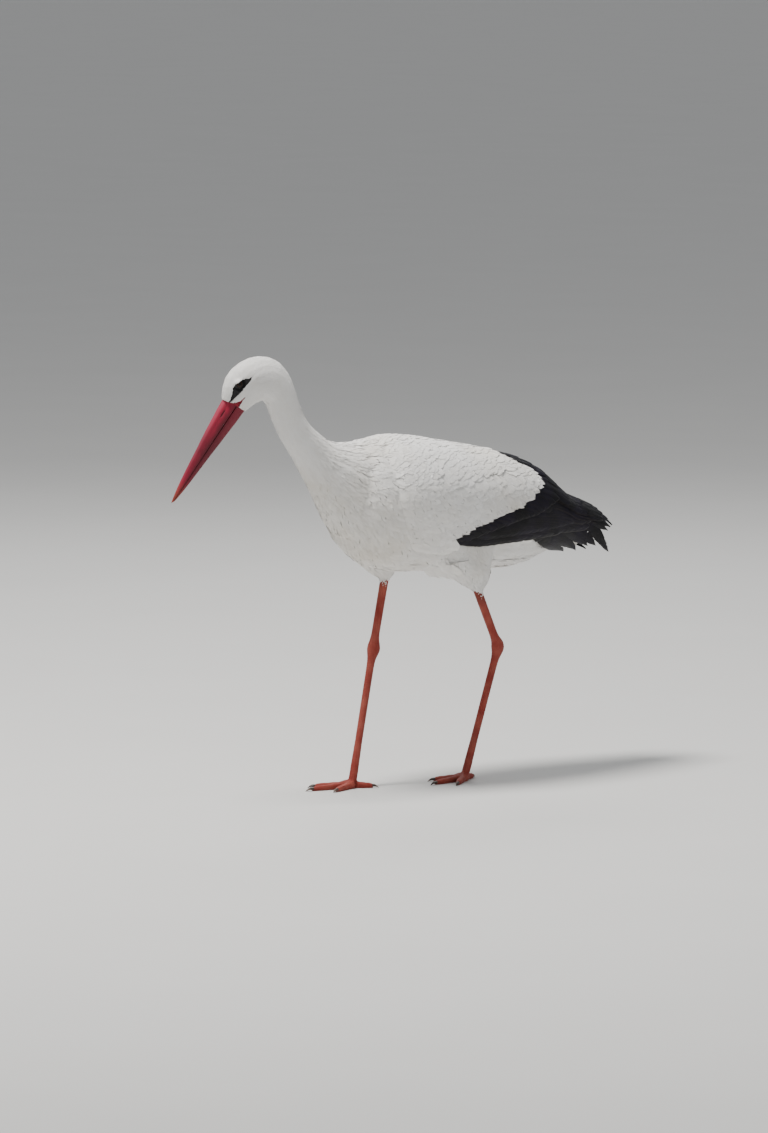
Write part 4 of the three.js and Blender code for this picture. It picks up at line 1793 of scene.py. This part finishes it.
@dataclass
class ThighPlumage:
    """The loose feathers that hang over the thighs down to the bare leg."""

    skin: "Skin"
    spine: Spine
    legs: Legs

    WING_EDGE = ((-160, 470), (-150, 425), (-120, 402), (-86, 394), (-34, 389), (200, 388))

    def build(self, side: str, material: Material) -> None:
        """Lays and makes one thigh's feathers.

        Args:
            side: Left or right.
            material: Their finish.
        """
        sign = SIDES[side]
        rng = np.random.default_rng(21 + sign)
        edge, ankle, _ = self.legs.joints(side)
        down = unit(ankle - edge)
        names = [f"thigh_{side}", f"tibia_{side}", "trunk", f"wing_coverts_{side}"]
        shell = fuse(self.skin.nodes(names), 2.0 * MM, 2.2 * MM, 12)
        shell = shell.relaxed(30, 1 - ease(np.abs(shell.corners[:, 2] - edge[2] - 0.012), 0.03, 0.05))
        inset = (1.5 + 2.0 * ease(shell.corners[:, 2] - edge[2], 0.02, 0.045)) * MM
        inward = unit(shell.spread(shell.normals(), 3)) * inset[:, None]
        outer = Surface(Shell(shell.corners - inward, shell.quads))

        def wanted(p: Array) -> Array:
            """Where the thigh's feathers grow.

            Args:
                p: The places asked about.

            Returns:
                True where they grow.
            """
            above = (p - edge) @ -down
            reach = np.linalg.norm(p - edge + above[:, None] * down, axis=1)
            near = (reach < 0.036 + 0.5 * above.clip(0)) & (above > -0.001)
            return near & (p[:, 2] < edge[2] + 0.046) & (p[:, 0] * sign > 0.002)

        def spacing(p: Array) -> Array:
            """The distance between roots, least at the bare leg."""
            return np.interp(p[:, 2] - edge[2], [0, 0.04], [2.3, 4.6]) * MM

        roots = outer.scatter(spacing, wanted, 31 + sign)
        _, normals = outer.nearest(roots)
        way = unit(edge + down * 0.02 - roots) * 0.8 + np.array([0, 0.35, -0.45])
        way = flattened(way, normals)
        way = unit(way + rng.normal(size=way.shape) * 0.09)
        above = roots[:, 2] - edge[2]
        length = np.interp(above, [0, 0.01, 0.04, 0.06], [13, 20, 34, 38]) * MM
        length = length * rng.uniform(0.8, 1.2, len(roots))
        half = np.interp(above, [0, 0.02, 0.05], [1.6, 3.4, 6.0]) * MM
        cut = VaneCut(Outline.LANCE, 8, 4, 0.05, 0.08, 0.07, 0.14, tilt=0.06)
        spots, turned = outer.trace(roots, way, length, cut.rings)
        heights = rising(3.2 * MM, rng.uniform(0.0, 0.5, (len(roots), 1)) * MM, cut.rings)
        coat = Coat(f"plumage_thigh_{side}")
        coat.lay(spots, turned, half, heights, cut, self.spine.map_places(roots), rng)
        self.drape(side, outer, coat, rng)
        coat.build(material, "white_plumage")

    def drape(self, side: str, thigh: Surface, coat: Coat, rng: Random) -> None:
        """Lays the flank's feathers that hang from under the wing over the top of the thigh.

        Args:
            side: Left or right.
            thigh: The surface that the thigh's feathers lie on.
            coat: The piece that takes the feathers.
            rng: The source of small differences.
        """
        outer = self.bridge(side, thigh)
        edge = self.legs.joints(side)[0]

        def wanted(p: Array) -> Array:
            """Where the draped feathers have their roots."""
            return (np.abs(p[:, 1] - edge[1] + 0.022) < 0.060) & (p[:, 2] > edge[2] + 0.034)

        roots = outer.scatter(lambda p: np.full(len(p), 4.4 * MM), wanted, 33 + SIDES[side])
        _, normals = outer.nearest(roots)
        way = flattened((0, 0.72, -0.69) + rng.normal(size=roots.shape) * 0.10, normals)
        length = rng.uniform(22, 30, len(roots)) * MM
        cut = VaneCut(Outline.CONTOUR, 8, 4, 0.04, 0.05, 0.05, 0.1, tilt=0.035)
        spots, turned = outer.trace(roots, way, length, cut.rings)
        heights = rising(2.2 * MM, rng.uniform(0.0, 0.4, (len(roots), 1)) * MM, cut.rings)
        half = rng.uniform(5.4, 6.8, len(roots)) * MM
        coat.lay(spots, turned, half, heights, cut, self.spine.map_places(roots), rng)

    def bridge(self, side: str, thigh: Surface) -> Surface:
        """A smooth surface from under the wing's lower edge, over the hollow there, to the thigh.

        Args:
            side: Left or right.
            thigh: The surface that the thigh's feathers lie on.

        Returns:
            The surface.
        """
        sign = SIDES[side]
        edge = self.legs.joints(side)[0]
        low, foot = edge[2] / MM + 40, edge[2] / MM + 6
        away = np.arange(-84, 85, 3.0)
        y = station(edge) - 22 + away
        top = table_at(y, self.WING_EDGE)[None] + 3
        down = np.linspace(0, 1, 26)[:, None]
        z = top * (1 - down) + foot * down
        y = np.broadcast_to(y, z.shape)
        found = self.reach(thigh, sign, y, z)
        rest = self.reach(thigh, sign, y[:1], np.full((1, z.shape[1]), low))
        share = np.clip((top - z) / (top - low), 0, 1)
        straight = np.minimum(found[:1], 78.0) * (1 - share) + rest * share
        near = 1 - ease(np.abs(away), 40, 66)[None]
        x = np.maximum(found, straight) * near + found * (1 - near)
        x = np.where(z > low, np.minimum(x, 80.0), found) + 1.4 * near - 1.0 * (1 - near)
        for _ in range(6):
            x[1:-1] = 0.5 * x[1:-1] + 0.25 * (x[:-2] + x[2:])
            x[:, 1:-1] = 0.5 * x[:, 1:-1] + 0.25 * (x[:, :-2] + x[:, 2:])
        quads = faces_between(np.arange(z.size).reshape(z.shape))
        quads = quads[:, [0, 3, 2, 1] if sign > 0 else [1, 2, 3, 0]]
        return Surface(Shell(place(np.stack([sign * x, y, z], -1).reshape(-1, 3)), quads))

    @staticmethod
    def reach(surface: Surface, sign: int, y: Array, z: Array) -> Array:
        """How far out a surface lies, all in millimetres.

        Args:
            surface: The surface.
            sign: 1 for the left side and -1 for the right.
            y: Stations.
            z: Heights.

        Returns:
            The distance from the middle plane at each place, or 0 where there is no surface.
        """
        found = np.zeros(y.shape)
        for index in np.ndindex(y.shape):
            start = place([sign * 200.0, y[index], z[index]])
            spot = surface.tree.ray_cast(start.tolist(), (-sign, 0, 0))[0]
            found[index] = abs(spot[0]) / MM if spot is not None else 0.0
        return found


# ---- Wings ----


class WingSurface:
    """The outside of a folded wing: stations along it, and an angle from its widest line to its top."""

    ROWS = (
        # station, half width, top, height of the widest line, bottom
        (-160, 60, 548, 470, 410), (-152, 78, 556, 468, 396), (-134, 91, 561, 466, 372),
        (-104, 98, 565, 463, 352), (-60, 100, 562, 460, 340), (0, 99, 552, 457, 336),
        (50, 97, 542, 452, 334), (100, 92, 533, 447, 334), (150, 84, 519, 441, 336),
        (196, 76, 500, 433, 340), (230, 69, 474, 424, 344), (260, 62, 453, 413, 346),
        (300, 55, 439, 402, 340), (340, 46, 422, 388, 332), (369, 36, 402, 372, 326),
    )

    def __init__(self, sign: int) -> None:
        """Takes the side: 1 is left and -1 is right."""
        self.sign, self.course = sign, Course(self.ROWS)

    def angle(self, y: Array, z: Array) -> Array:
        """The angle of a point seen from the side.

        Args:
            y: Its station.
            z: Its height in millimetres.

        Returns:
            The angle from the widest line.
        """
        _, top, wide, bottom = self.parts(y)
        up = np.clip((z - wide) / (top - wide), 0, 1)
        down = np.clip((wide - z) / (wide - bottom), 0, 1)
        return np.where(z > wide, np.arcsin(up), -np.arcsin(down))

    def parts(self, y: Array) -> Array:
        """The half width, top, height of the widest line and bottom at some stations."""
        return np.moveaxis(self.course.at(y), -1, 0)

    def read(self, points: Array) -> Array:
        """The station and angle of points near the surface.

        Args:
            points: Places in the frame.

        Returns:
            A row of two for each place.
        """
        y = station(points)
        half, top, wide, bottom = self.parts(y)
        rise = points[:, 2] / MM - wide
        share = rise / np.where(rise > 0, top - wide, wide - bottom)
        return np.column_stack([y, np.arctan2(share, points[:, 0] / MM * self.sign / half)])

    def spot(self, y: Array, angle: Array) -> Array:
        """The point of the surface at a station and an angle.

        Args:
            y: Stations.
            angle: Angles.

        Returns:
            Places in the frame.
        """
        half, top, wide, bottom = self.parts(y)
        s, c = np.sin(angle), np.cos(angle)
        z = wide + np.where(s > 0, top - wide, wide - bottom) * s
        return place(np.stack(np.broadcast_arrays(self.sign * half * c, y, z), -1))

    def normal(self, y: Array, angle: Array) -> Array:
        """The surface's outward normal.

        Args:
            y: Stations.
            angle: Angles.

        Returns:
            A normal for each place.
        """
        along = self.spot(y + 3.0, angle) - self.spot(y - 3.0, angle)
        around = self.spot(y, angle + 0.02) - self.spot(y, angle - 0.02)
        return unit(np.cross(along, around)) * self.sign

    def line(self, root: Array, tip: Array, rings: int, bow: Array) -> tuple[Array, Array]:
        """Lines over the surface from roots to tips.

        Args:
            root: Station and angle of each root.
            tip: Station and angle of each tip.
            rings: The steps in a line.
            bow: How far each line's middle bows towards the top, in radians.

        Returns:
            The points and normals, (lines, rings + 1, 3).
        """
        t = np.linspace(0, 1, rings + 1)[None]
        y = root[:, :1] * (1 - t) + tip[:, :1] * t
        angle = root[:, 1:] * (1 - t) + tip[:, 1:] * t + np.reshape(bow, (-1, 1)) * 4 * t * (1 - t)
        end = self.ROWS[-1][0]
        spots = self.spot(y, angle)
        spots[..., 1] += np.maximum(y - end, 0) * MM
        return spots, self.normal(np.minimum(y, end - 3.5), angle)


@dataclass
class Wing:
    """One folded wing: white coverts and scapulars over black coverts, secondaries and primaries."""

    side: str
    spine: Spine
    outer: Surface
    coat: Optional[Coat] = None

    LOWER_EDGE = ((-160, 470), (-150, 425), (-120, 400), (-86, 391), (-34, 386), (200, 380))
    COVERT_SLOPE = ((385, -0.42), (430, -0.36), (480, -0.24), (540, -0.03))
    EDGE_SLOPE = ((385, -0.36), (440, -0.40), (500, -0.22), (540, -0.02))
    PRIMARIES = (
        # root and tip seen from the side, half width, height of the tip and bow, from the lowest up
        (125, 412, 266, 349, 13.0, -7.0, 0.10), (145, 416, 285, 351, 13.5, -6.6, 0.10),
        (160, 420, 302, 359, 13.0, -6.2, 0.10), (180, 426, 320, 359, 12.0, -5.8, 0.11),
        (212, 440, 358, 346, 10.5, -5.2, 0.17), (200, 436, 336, 372, 12.0, -4.8, 0.12),
        (190, 434, 343, 385, 11.5, -4.2, 0.08), (185, 438, 352, 391, 12.0, -3.6, 0.07),
        (180, 442, 365, 393, 12.0, -2.8, 0.08), (180, 446, 354, 403, 12.0, -2.2, 0.05),
        (170, 448, 339, 412, 12.5, -1.6, 0.04), (160, 450, 323, 421, 12.5, -1.0, 0.03),
    )
    PRIMARY_CUT = VaneCut(Outline.PRIMARY, 56, 8, 0.16, 0.10, 0.006, 0.03, 0.05, thickness=0.7 * MM)
    TERTIALS = (
        # the same for the long inner feathers that close over the back of the folded wing
        (120, 448, 288, 408, 15.0, -1.6, 0), (125, 458, 308, 411, 16.0, -1.1, 0),
        (130, 468, 318, 416, 16.5, -0.6, 0), (128, 478, 312, 424, 17.0, -0.1, 0),
        (125, 488, 296, 433, 17.0, 0.2, 0), (122, 497, 276, 443, 17.0, 0.5, 0),
        (118, 505, 256, 453, 17.0, 0.7, 0), (112, 512, 236, 466, 16.5, 0.9, 0),
    )
    TERTIAL_CUT = VaneCut(Outline.BROAD, 48, 10, 0.10, 0.10, 0.008, 0.02, splits=0.03, thickness=0.6 * MM)
    INNER_TERTIALS = (
        # angle round the back, and the station of the tip
        (0.42, 328), (0.62, 330), (0.82, 332), (1.02, 330), (1.22, 326), (1.42, 320), (1.56, 314),
    )

    def __post_init__(self) -> None:
        """Prepares the wing's surface."""
        self.surface = WingSurface(SIDES[self.side])
        self.rng = np.random.default_rng(41 + SIDES[self.side])

    def lay(
        self, root: Array, tip: Array, half: Number, cut: VaneCut, low: Number, high: Number,
        bow: Number = 0.0,
    ) -> None:
        """Lays feathers over the wing's surface.

        Args:
            root: Station and angle of each root.
            tip: Station and angle of each tip.
            half: Half widths in metres.
            cut: Their shape.
            low: How high the roots lie over the surface, in metres.
            high: How high the tips lie.
            bow: How far each line bows, in radians.
        """
        spots, normals = self.surface.line(root, tip, cut.rings, bow)
        t = np.linspace(0, 1, cut.rings + 1)[None]
        low, high = np.reshape(low, (-1, 1)), np.reshape(high, (-1, 1))
        heights = low + (high - low) * (1 - (1 - t) ** cut.rise)
        self.coat.lay(spots, normals, half, heights, cut, self.spine.map_places(spots[:, 0]), self.rng)

    def lay_seen(self, roots: Array, tips: Array, *shape: Union[Number, VaneCut]) -> None:
        """Lays feathers whose roots and tips are given as seen from the side, in millimetres."""
        ends = [np.column_stack([e[:, 0], self.surface.angle(e[:, 0], e[:, 1])]) for e in (roots, tips)]
        self.lay(*ends, *shape)

    def lay_rows(self, rows: Rows, cut: VaneCut, low: float) -> None:
        """Lays feathers from a table.

        Args:
            rows: Root and tip seen from the side, half width, height of the tip, and bow.
            cut: Their shape.
            low: How high the roots lie over the surface, in metres.
        """
        table = np.asarray(rows, float)
        half, high = table[:, 4:6].T * MM
        self.lay_seen(table[:, :2], table[:, 2:4], half, cut, low, high, table[:, 6])

    @staticmethod
    def along_edge(edge: Rows) -> tuple[Array, Array]:
        """Stations and heights of a part of the white edge, and how far along it each point is."""
        points = np.asarray(edge, float)[:, ::-1]
        return points, run_length(points)

    def coverts(self, material: Material) -> None:
        """The white lesser and median coverts and the white scapulars.

        Args:
            material: Their finish.
        """
        rng, surface = self.rng, self.surface

        def wanted(p: Array) -> Array:
            """Where the white wing feathers grow.

            Args:
                p: The places asked about.

            Returns:
                True where they grow.
            """
            y = station(p)
            inside = (y > -168) & (y < 186) & (p[:, 2] / MM > table_at(y, self.LOWER_EDGE))
            return inside & (p[:, 0] * surface.sign > -3 * MM)

        def spacing(p: Array) -> Array:
            """The distance between roots."""
            return np.interp(station(p), [-150, 150], [6.0, 8.6]) * MM

        spots = self.outer.scatter(spacing, wanted, 51 + surface.sign)
        root = surface.read(spots)
        y, angle = root.T
        grown = np.clip((y + 150) / 300, 0, 1)
        length = (28 + 22 * grown) * rng.uniform(0.86, 1.14, len(root))
        half = (7.6 + 4.8 * grown) * rng.uniform(0.88, 1.12, len(root)) * MM
        z = surface.spot(y, angle)[:, 2] / MM
        slope = table_at(z, self.COVERT_SLOPE) + rng.normal(size=len(z)) * 0.05
        reach = np.linalg.norm(surface.spot(y, angle + 0.05) - surface.spot(y, angle - 0.05), axis=1) / 0.1
        tip_y, tip_angle = y + length * np.cos(slope), angle + length * MM * np.sin(slope) / reach
        limit = white_limit(surface.spot(tip_y, tip_angle)[:, 2])
        keep = tip_y < limit + rng.uniform(-6, 1, len(limit))
        cut = VaneCut(Outline.CONTOUR, 10, 6, 0.03, 0.05, 0.04, 0.07, splits=0.05, tilt=0.035, rise=1.15)
        fold = folds(spots[keep], 1.3 * MM, 70)
        high = fold + rng.uniform(0.1, 0.35, keep.sum()) * MM
        tip = np.column_stack([tip_y, tip_angle])
        self.coat = Coat(f"wing_white_{self.side}")
        self.lay(root[keep], tip[keep], half[keep], cut, fold - 2.3 * MM, high)
        self.edge_row()
        self.coat.build(material, "white_plumage")

    def edge_row(self) -> None:
        """The last white row, whose tips make the ragged edge over the black."""
        rng = self.rng
        edge, size = self.along_edge(WHITE_EDGE[1:-1])
        cut = VaneCut(Outline.CONTOUR, 12, 6, 0.04, 0.06, 0.06, 0.08, splits=0.08, tilt=0.035, rise=1.2)
        for layer, (back, step) in enumerate(((0.0, 10.5), (6.0, 8.0), (13.0, 8.0))):
            s = np.arange(2 + layer * 3, size[-1], step)
            s = s + rng.uniform(-1.5, 1.5, len(s))
            tips = np.column_stack([np.interp(s, size, edge[:, k]) for k in range(2)])
            tips[:, 0] += rng.uniform(-5.0, 5.5, len(s)) - back
            angle = table_at(tips[:, 1], self.EDGE_SLOPE) + rng.normal(size=len(s)) * 0.06
            length = rng.uniform(38, 50, len(s))
            roots = tips - headings_of(angle) * length[:, None]
            half = rng.uniform(8.0, 10.5, len(s)) * MM
            high = rng.uniform(0.3, 1.0, len(s)) * MM
            self.lay_seen(roots, tips, half, cut, -3.2 * MM, high)

    def black(self, material: Material) -> None:
        """The black feathers, from the primaries underneath to the long scapulars on top.

        Args:
            material: Their finish.
        """
        self.coat = Coat(f"wing_black_{self.side}")
        self.lay_rows(self.PRIMARIES, self.PRIMARY_CUT, -8.0 * MM)
        self.secondaries()
        self.greater_coverts()
        self.lay_rows(self.TERTIALS, self.TERTIAL_CUT, -4.5 * MM)
        self.inner_tertials()
        self.long_scapulars()
        self.coat.build(material, "black_plumage", f"wing_primaries_{self.side}")

    def secondaries(self) -> None:
        """The row whose tips make the wing's lower edge."""
        u = np.linspace(0, 1, 15)
        tips = np.column_stack([46 + 244 * u, np.interp(u, [0, 0.6, 1], [386, 391, 396])])
        slope = -0.13 + 0.03 * u
        roots = tips - headings_of(slope) * (95 + 55 * u)[:, None]
        cut = VaneCut(Outline.FLIGHT, 44, 8, 0.12, 0.10, 0.008, 0.025, splits=0.04, thickness=0.6 * MM)
        half = (10.5 + 4.0 * u) * MM
        high = (-2.6 - 0.6 * u) * MM
        self.lay_seen(roots, tips, half, cut, high - 3.0 * MM, high)
        over = np.array([8.0, 12.0])
        self.lay_seen(roots + over, tips + over, half, cut, high - 2.0 * MM, high + 0.9 * MM)

    def greater_coverts(self) -> None:
        """The black coverts that show beyond the white ones."""
        u = np.linspace(0, 1, 17)
        edge, size = self.along_edge(WHITE_EDGE[3:9])
        base = np.column_stack([np.interp(u * size[-1], size, edge[:, k]) for k in range(2)])
        slope = -0.12 - 0.22 * u
        way = headings_of(slope)
        tips = base + way * np.interp(u, [0, 0.3, 1], [30, 44, 56])[:, None]
        tips[:, 1] = np.maximum(tips[:, 1], 387)
        cut = VaneCut(Outline.BROAD, 30, 8, 0.11, 0.12, 0.012, 0.03, splits=0.05, thickness=0.5 * MM)
        self.lay_seen(base - way * 34, tips, 11.0 * MM, cut, -4.3 * MM, 0.2 * MM)

    def inner_tertials(self) -> None:
        """The broad feathers that close over the rump, up to the middle of the back."""
        angle, tip_y = np.array(self.INNER_TERTIALS).T
        tip_y = tip_y + self.rng.uniform(-2, 2, len(angle))
        root = np.column_stack([np.full(len(angle), 165.0), angle + 0.03])
        tip = np.column_stack([tip_y, angle - 0.05])
        cut = VaneCut(Outline.BROAD, 40, 10, 0.09, 0.12, 0.01, 0.025, splits=0.03, thickness=0.6 * MM)
        high = np.linspace(-0.4, 0.6, len(angle)) * MM
        self.lay(root, tip, 14.0 * MM, cut, high - 4.0 * MM, high)

    def long_scapulars(self) -> None:
        """The black feathers of the upper back, over the roots of the tertials."""
        rng = self.rng
        rows = []
        for row, y in enumerate(np.arange(72, 232, 13.0)):
            for angle in np.arange(0.42, 1.62, 0.155):
                a = angle + (row % 2) * 0.075 + rng.normal() * 0.02
                tip_y = y + np.interp(y, [70, 230], [52, 72]) * rng.uniform(0.92, 1.08)
                seen = y + 14.0 - white_limit(self.surface.spot(y + 14.0, a)[2])
                if seen < -16 or tip_y > 296:
                    continue
                root_y, half = y + rng.normal() * 1.5, rng.uniform(9.5, 11.5)
                high = rng.uniform(0.3, 1.3) - (1.0 if seen < 4 else 0.0)
                rows.append((root_y, a, tip_y, a - 0.10, half, high))
        table = np.array(rows)
        cut = VaneCut(Outline.CONTOUR, 20, 8, 0.10, 0.12, 0.015, 0.04, splits=0.05, thickness=0.4 * MM)
        half, high = table[:, 4:].T * MM
        self.lay(table[:, :2], table[:, 2:4], half, cut, high - 4.5 * MM, high)


@dataclass
class TailFan:
    """Twelve white tail feathers, the middle pair on top."""

    spine: Spine
    count: int = 12
    start: float = 218
    end: float = 339
    half_width: float = 10.5 * MM

    LINE = ((218, 409), (236, 407), (262, 402), (290, 391), (315, 379), (330, 372), (342, 366))

    def build(self, material: Material) -> None:
        """Lays and makes the tail feathers.

        Args:
            material: Their finish.
        """
        rng = np.random.default_rng(61)
        k = (np.arange(self.count) - (self.count - 1) / 2)[:, None]
        cut = VaneCut(Outline.BROAD, 40, 8, 0.16, 0.16, 0.012, 0.03, splits=0.06, thickness=0.6 * MM)
        t = np.linspace(0, 1, cut.rings + 1)
        end = self.end - 0.9 * k**2 + rng.uniform(-1.5, 1.5, (self.count, 1))
        y = self.start + (end - self.start) * t
        x = k * (1.8 + 3.5 * t)
        z = Course(self.LINE).at(y)[..., 0] - 0.005 * x**2 + 1.1 * (6 - np.abs(k)) - 2.0
        spots = place(np.stack([x, y, z], -1))
        normals = unit(np.cross((1.0, 0, 0), unit(np.gradient(spots, axis=1))))
        normals = normals * np.sign(normals[..., 2:])
        coat = Coat("tail_feathers")
        map_places = self.spine.map_places(spots[:, 0])
        coat.lay(spots, normals, self.half_width, np.zeros((1, len(t))), cut, map_places, rng)
        coat.build(material, "white_plumage")


# ---- Claws ----


@dataclass
class Claws:
    """The eight claws: flat curved nails that grow out of the toes' ends."""

    frame: dict
    legs: Legs
    rings: int = 26
    sides: int = 28
    root: float = 3.0 * MM

    def build(self) -> None:
        """Makes every claw."""
        material = ClawHorn().make()
        for toe in ("middle", "inner", "outer", "hind"):
            for side in SIDES:
                self.claw(toe, side, material)

    def claw(self, toe: str, side: str, material: Material) -> None:
        """Makes one claw where the frame has it.

        Args:
            toe: The toe's name.
            side: Left or right.
            material: Its finish.
        """
        node = f"claw_{toe}_{side}"
        points = np.array([v.co[:] for v in self.frame["nodes"][node].data.vertices])
        foot = self.legs.joints(side)[2]
        way = unit((points.mean(0) - foot) * (1, 1, 0))
        across = np.cross((0, 0, 1.0), way)
        along = (points - foot) @ way
        base = points[along < along.min() + 1.0 * MM]
        start = along.min() - self.root
        size = along.max() - start + 1.0 * MM
        half, top = np.ptp(base @ across) / 2 * 0.92, base[:, 2].max()
        t = np.linspace(0, 1, self.rings)[:, None]
        turn = full_turn(self.sides)
        sin = np.sin(turn)
        wide = (half * (1 - t**2.1) ** 0.75 + 0.22 * MM) * np.cos(turn)
        tall = (top * 0.46 * (1 - t**1.8) ** 0.8 + 0.22 * MM) * np.where(sin < 0, 0.75 * sin, sin)
        middle = foot + across * ((base.mean(0) - foot) @ across) + way * (start + size * t)
        middle[:, 2:] = (top * 0.5 + 0.5 * MM) * (1 - t**2.4) + 0.35 * MM + 0.6 * MM * np.sin(t * math.pi)
        ring = middle[:, None] + across * wide[..., None] + np.array((0, 0, 1.0)) * tall[..., None]
        ring[..., 2] = np.maximum(ring[..., 2], 0.05 * MM)
        shell = tube(ring, middle[0], middle[-1] + way * 0.3 * MM)
        values = {"along": np.concatenate([np.repeat(t, self.sides), [0, 1]])}
        dress(make_object(f"{node}_horn", shell, values), material, "claw", node)


# ---- Studio ----


@dataclass
class Studio:
    """A pale floor, soft light and the camera."""

    aim: tuple = (-0.0546, 0.0046, 0.3467)
    azimuth: float = 48.0
    elevation: float = 6.0
    distance: float = 12.0
    lens: float = 238.3
    sensor: float = 36.0
    floor_reach: float = 90.0

    def camera(self) -> None:
        """Places the camera."""
        a, e = math.radians(self.azimuth), math.radians(self.elevation)
        out = Vector((math.sin(a) * math.cos(e), -math.cos(a) * math.cos(e), math.sin(e)))
        data = bpy.data.cameras.new("camera")
        data.lens, data.sensor_width, data.sensor_fit = self.lens, self.sensor, "AUTO"
        data.clip_end = 400
        camera = link(bpy.data.objects.new("camera", data))
        camera.location = Vector(self.aim) + out * self.distance
        camera.rotation_euler = (-out).to_track_quat("-Z", "Y").to_euler()
        bpy.context.scene.camera = camera

    def floor(self) -> None:
        """Lays the floor."""
        mesh = bpy.data.meshes.new("floor")
        work = bmesh.new()
        bmesh.ops.create_circle(work, cap_ends=True, segments=96, radius=self.floor_reach)
        work.to_mesh(mesh)
        work.free()
        mesh.materials.append(PaleFloor().make())
        link(bpy.data.objects.new("floor", mesh))

    def lamp(self, name: str, spot: tuple, size: float, power: float, colour: Colour) -> None:
        """Hangs one soft light that faces the bird.

        Args:
            name: The light's name.
            spot: Where it hangs.
            size: Its width in metres.
            power: Its power in watts.
            colour: Its colour.
        """
        data = bpy.data.lights.new(name, "AREA")
        data.shape, data.size, data.energy, data.color = "DISK", size, power, colour
        lamp = link(bpy.data.objects.new(name, data))
        lamp.location = spot
        lamp.rotation_euler = (Vector((0, 0, 0.4)) - Vector(spot)).to_track_quat("-Z", "Y").to_euler()

    def world(self) -> None:
        """Sets the pale surroundings."""
        world = bpy.data.worlds.new("studio")
        world.use_nodes = True
        back = world.node_tree.nodes["Background"]
        back.inputs["Color"].default_value = (0.95, 0.97, 1.0, 1)
        back.inputs["Strength"].default_value = 0.46
        bpy.context.scene.world = world

    def build(self) -> None:
        """Makes the whole studio."""
        self.camera()
        self.floor()
        self.world()
        self.lamp("key", (-0.4, -1.6, 4.8), 1.5, 390, (1.0, 0.98, 0.95))
        self.lamp("fill", (3.4, -0.6, 1.8), 2.4, 12, (0.95, 0.98, 1.0))
        self.lamp("rim", (-2.8, 2.4, 3.0), 1.6, 50, (1.0, 1.0, 1.0))


def main() -> None:
    """Builds the stork around the frame."""
    logging.basicConfig(level=logging.INFO, format="%(relativeCreated)8d ms %(message)s")
    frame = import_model()
    Studio().build()
    spine, face, legs = Spine(), Face(), Legs()
    skin = Skin(frame, face, spine, legs)
    outer = skin.outer()
    skin_piece = skin.build()
    Bill(face).build()
    eyes = Eyes(face)
    for side in SIDES:
        eyes.ball(side)
        eyes.rim(side, skin_piece.data.materials[0])
    white, black = WhitePlumage().make(), BlackPlumage().make()
    BodyPlumage(outer, spine, face, frame, legs).build(white)
    for side in SIDES:
        ThighPlumage(skin, spine, legs).build(side, white)
        wing = Wing(side, spine, outer)
        wing.coverts(white)
        wing.black(black)
    TailFan(spine).build(white)
    Claws(frame, legs).build()


if __name__ == "__main__":
    main()
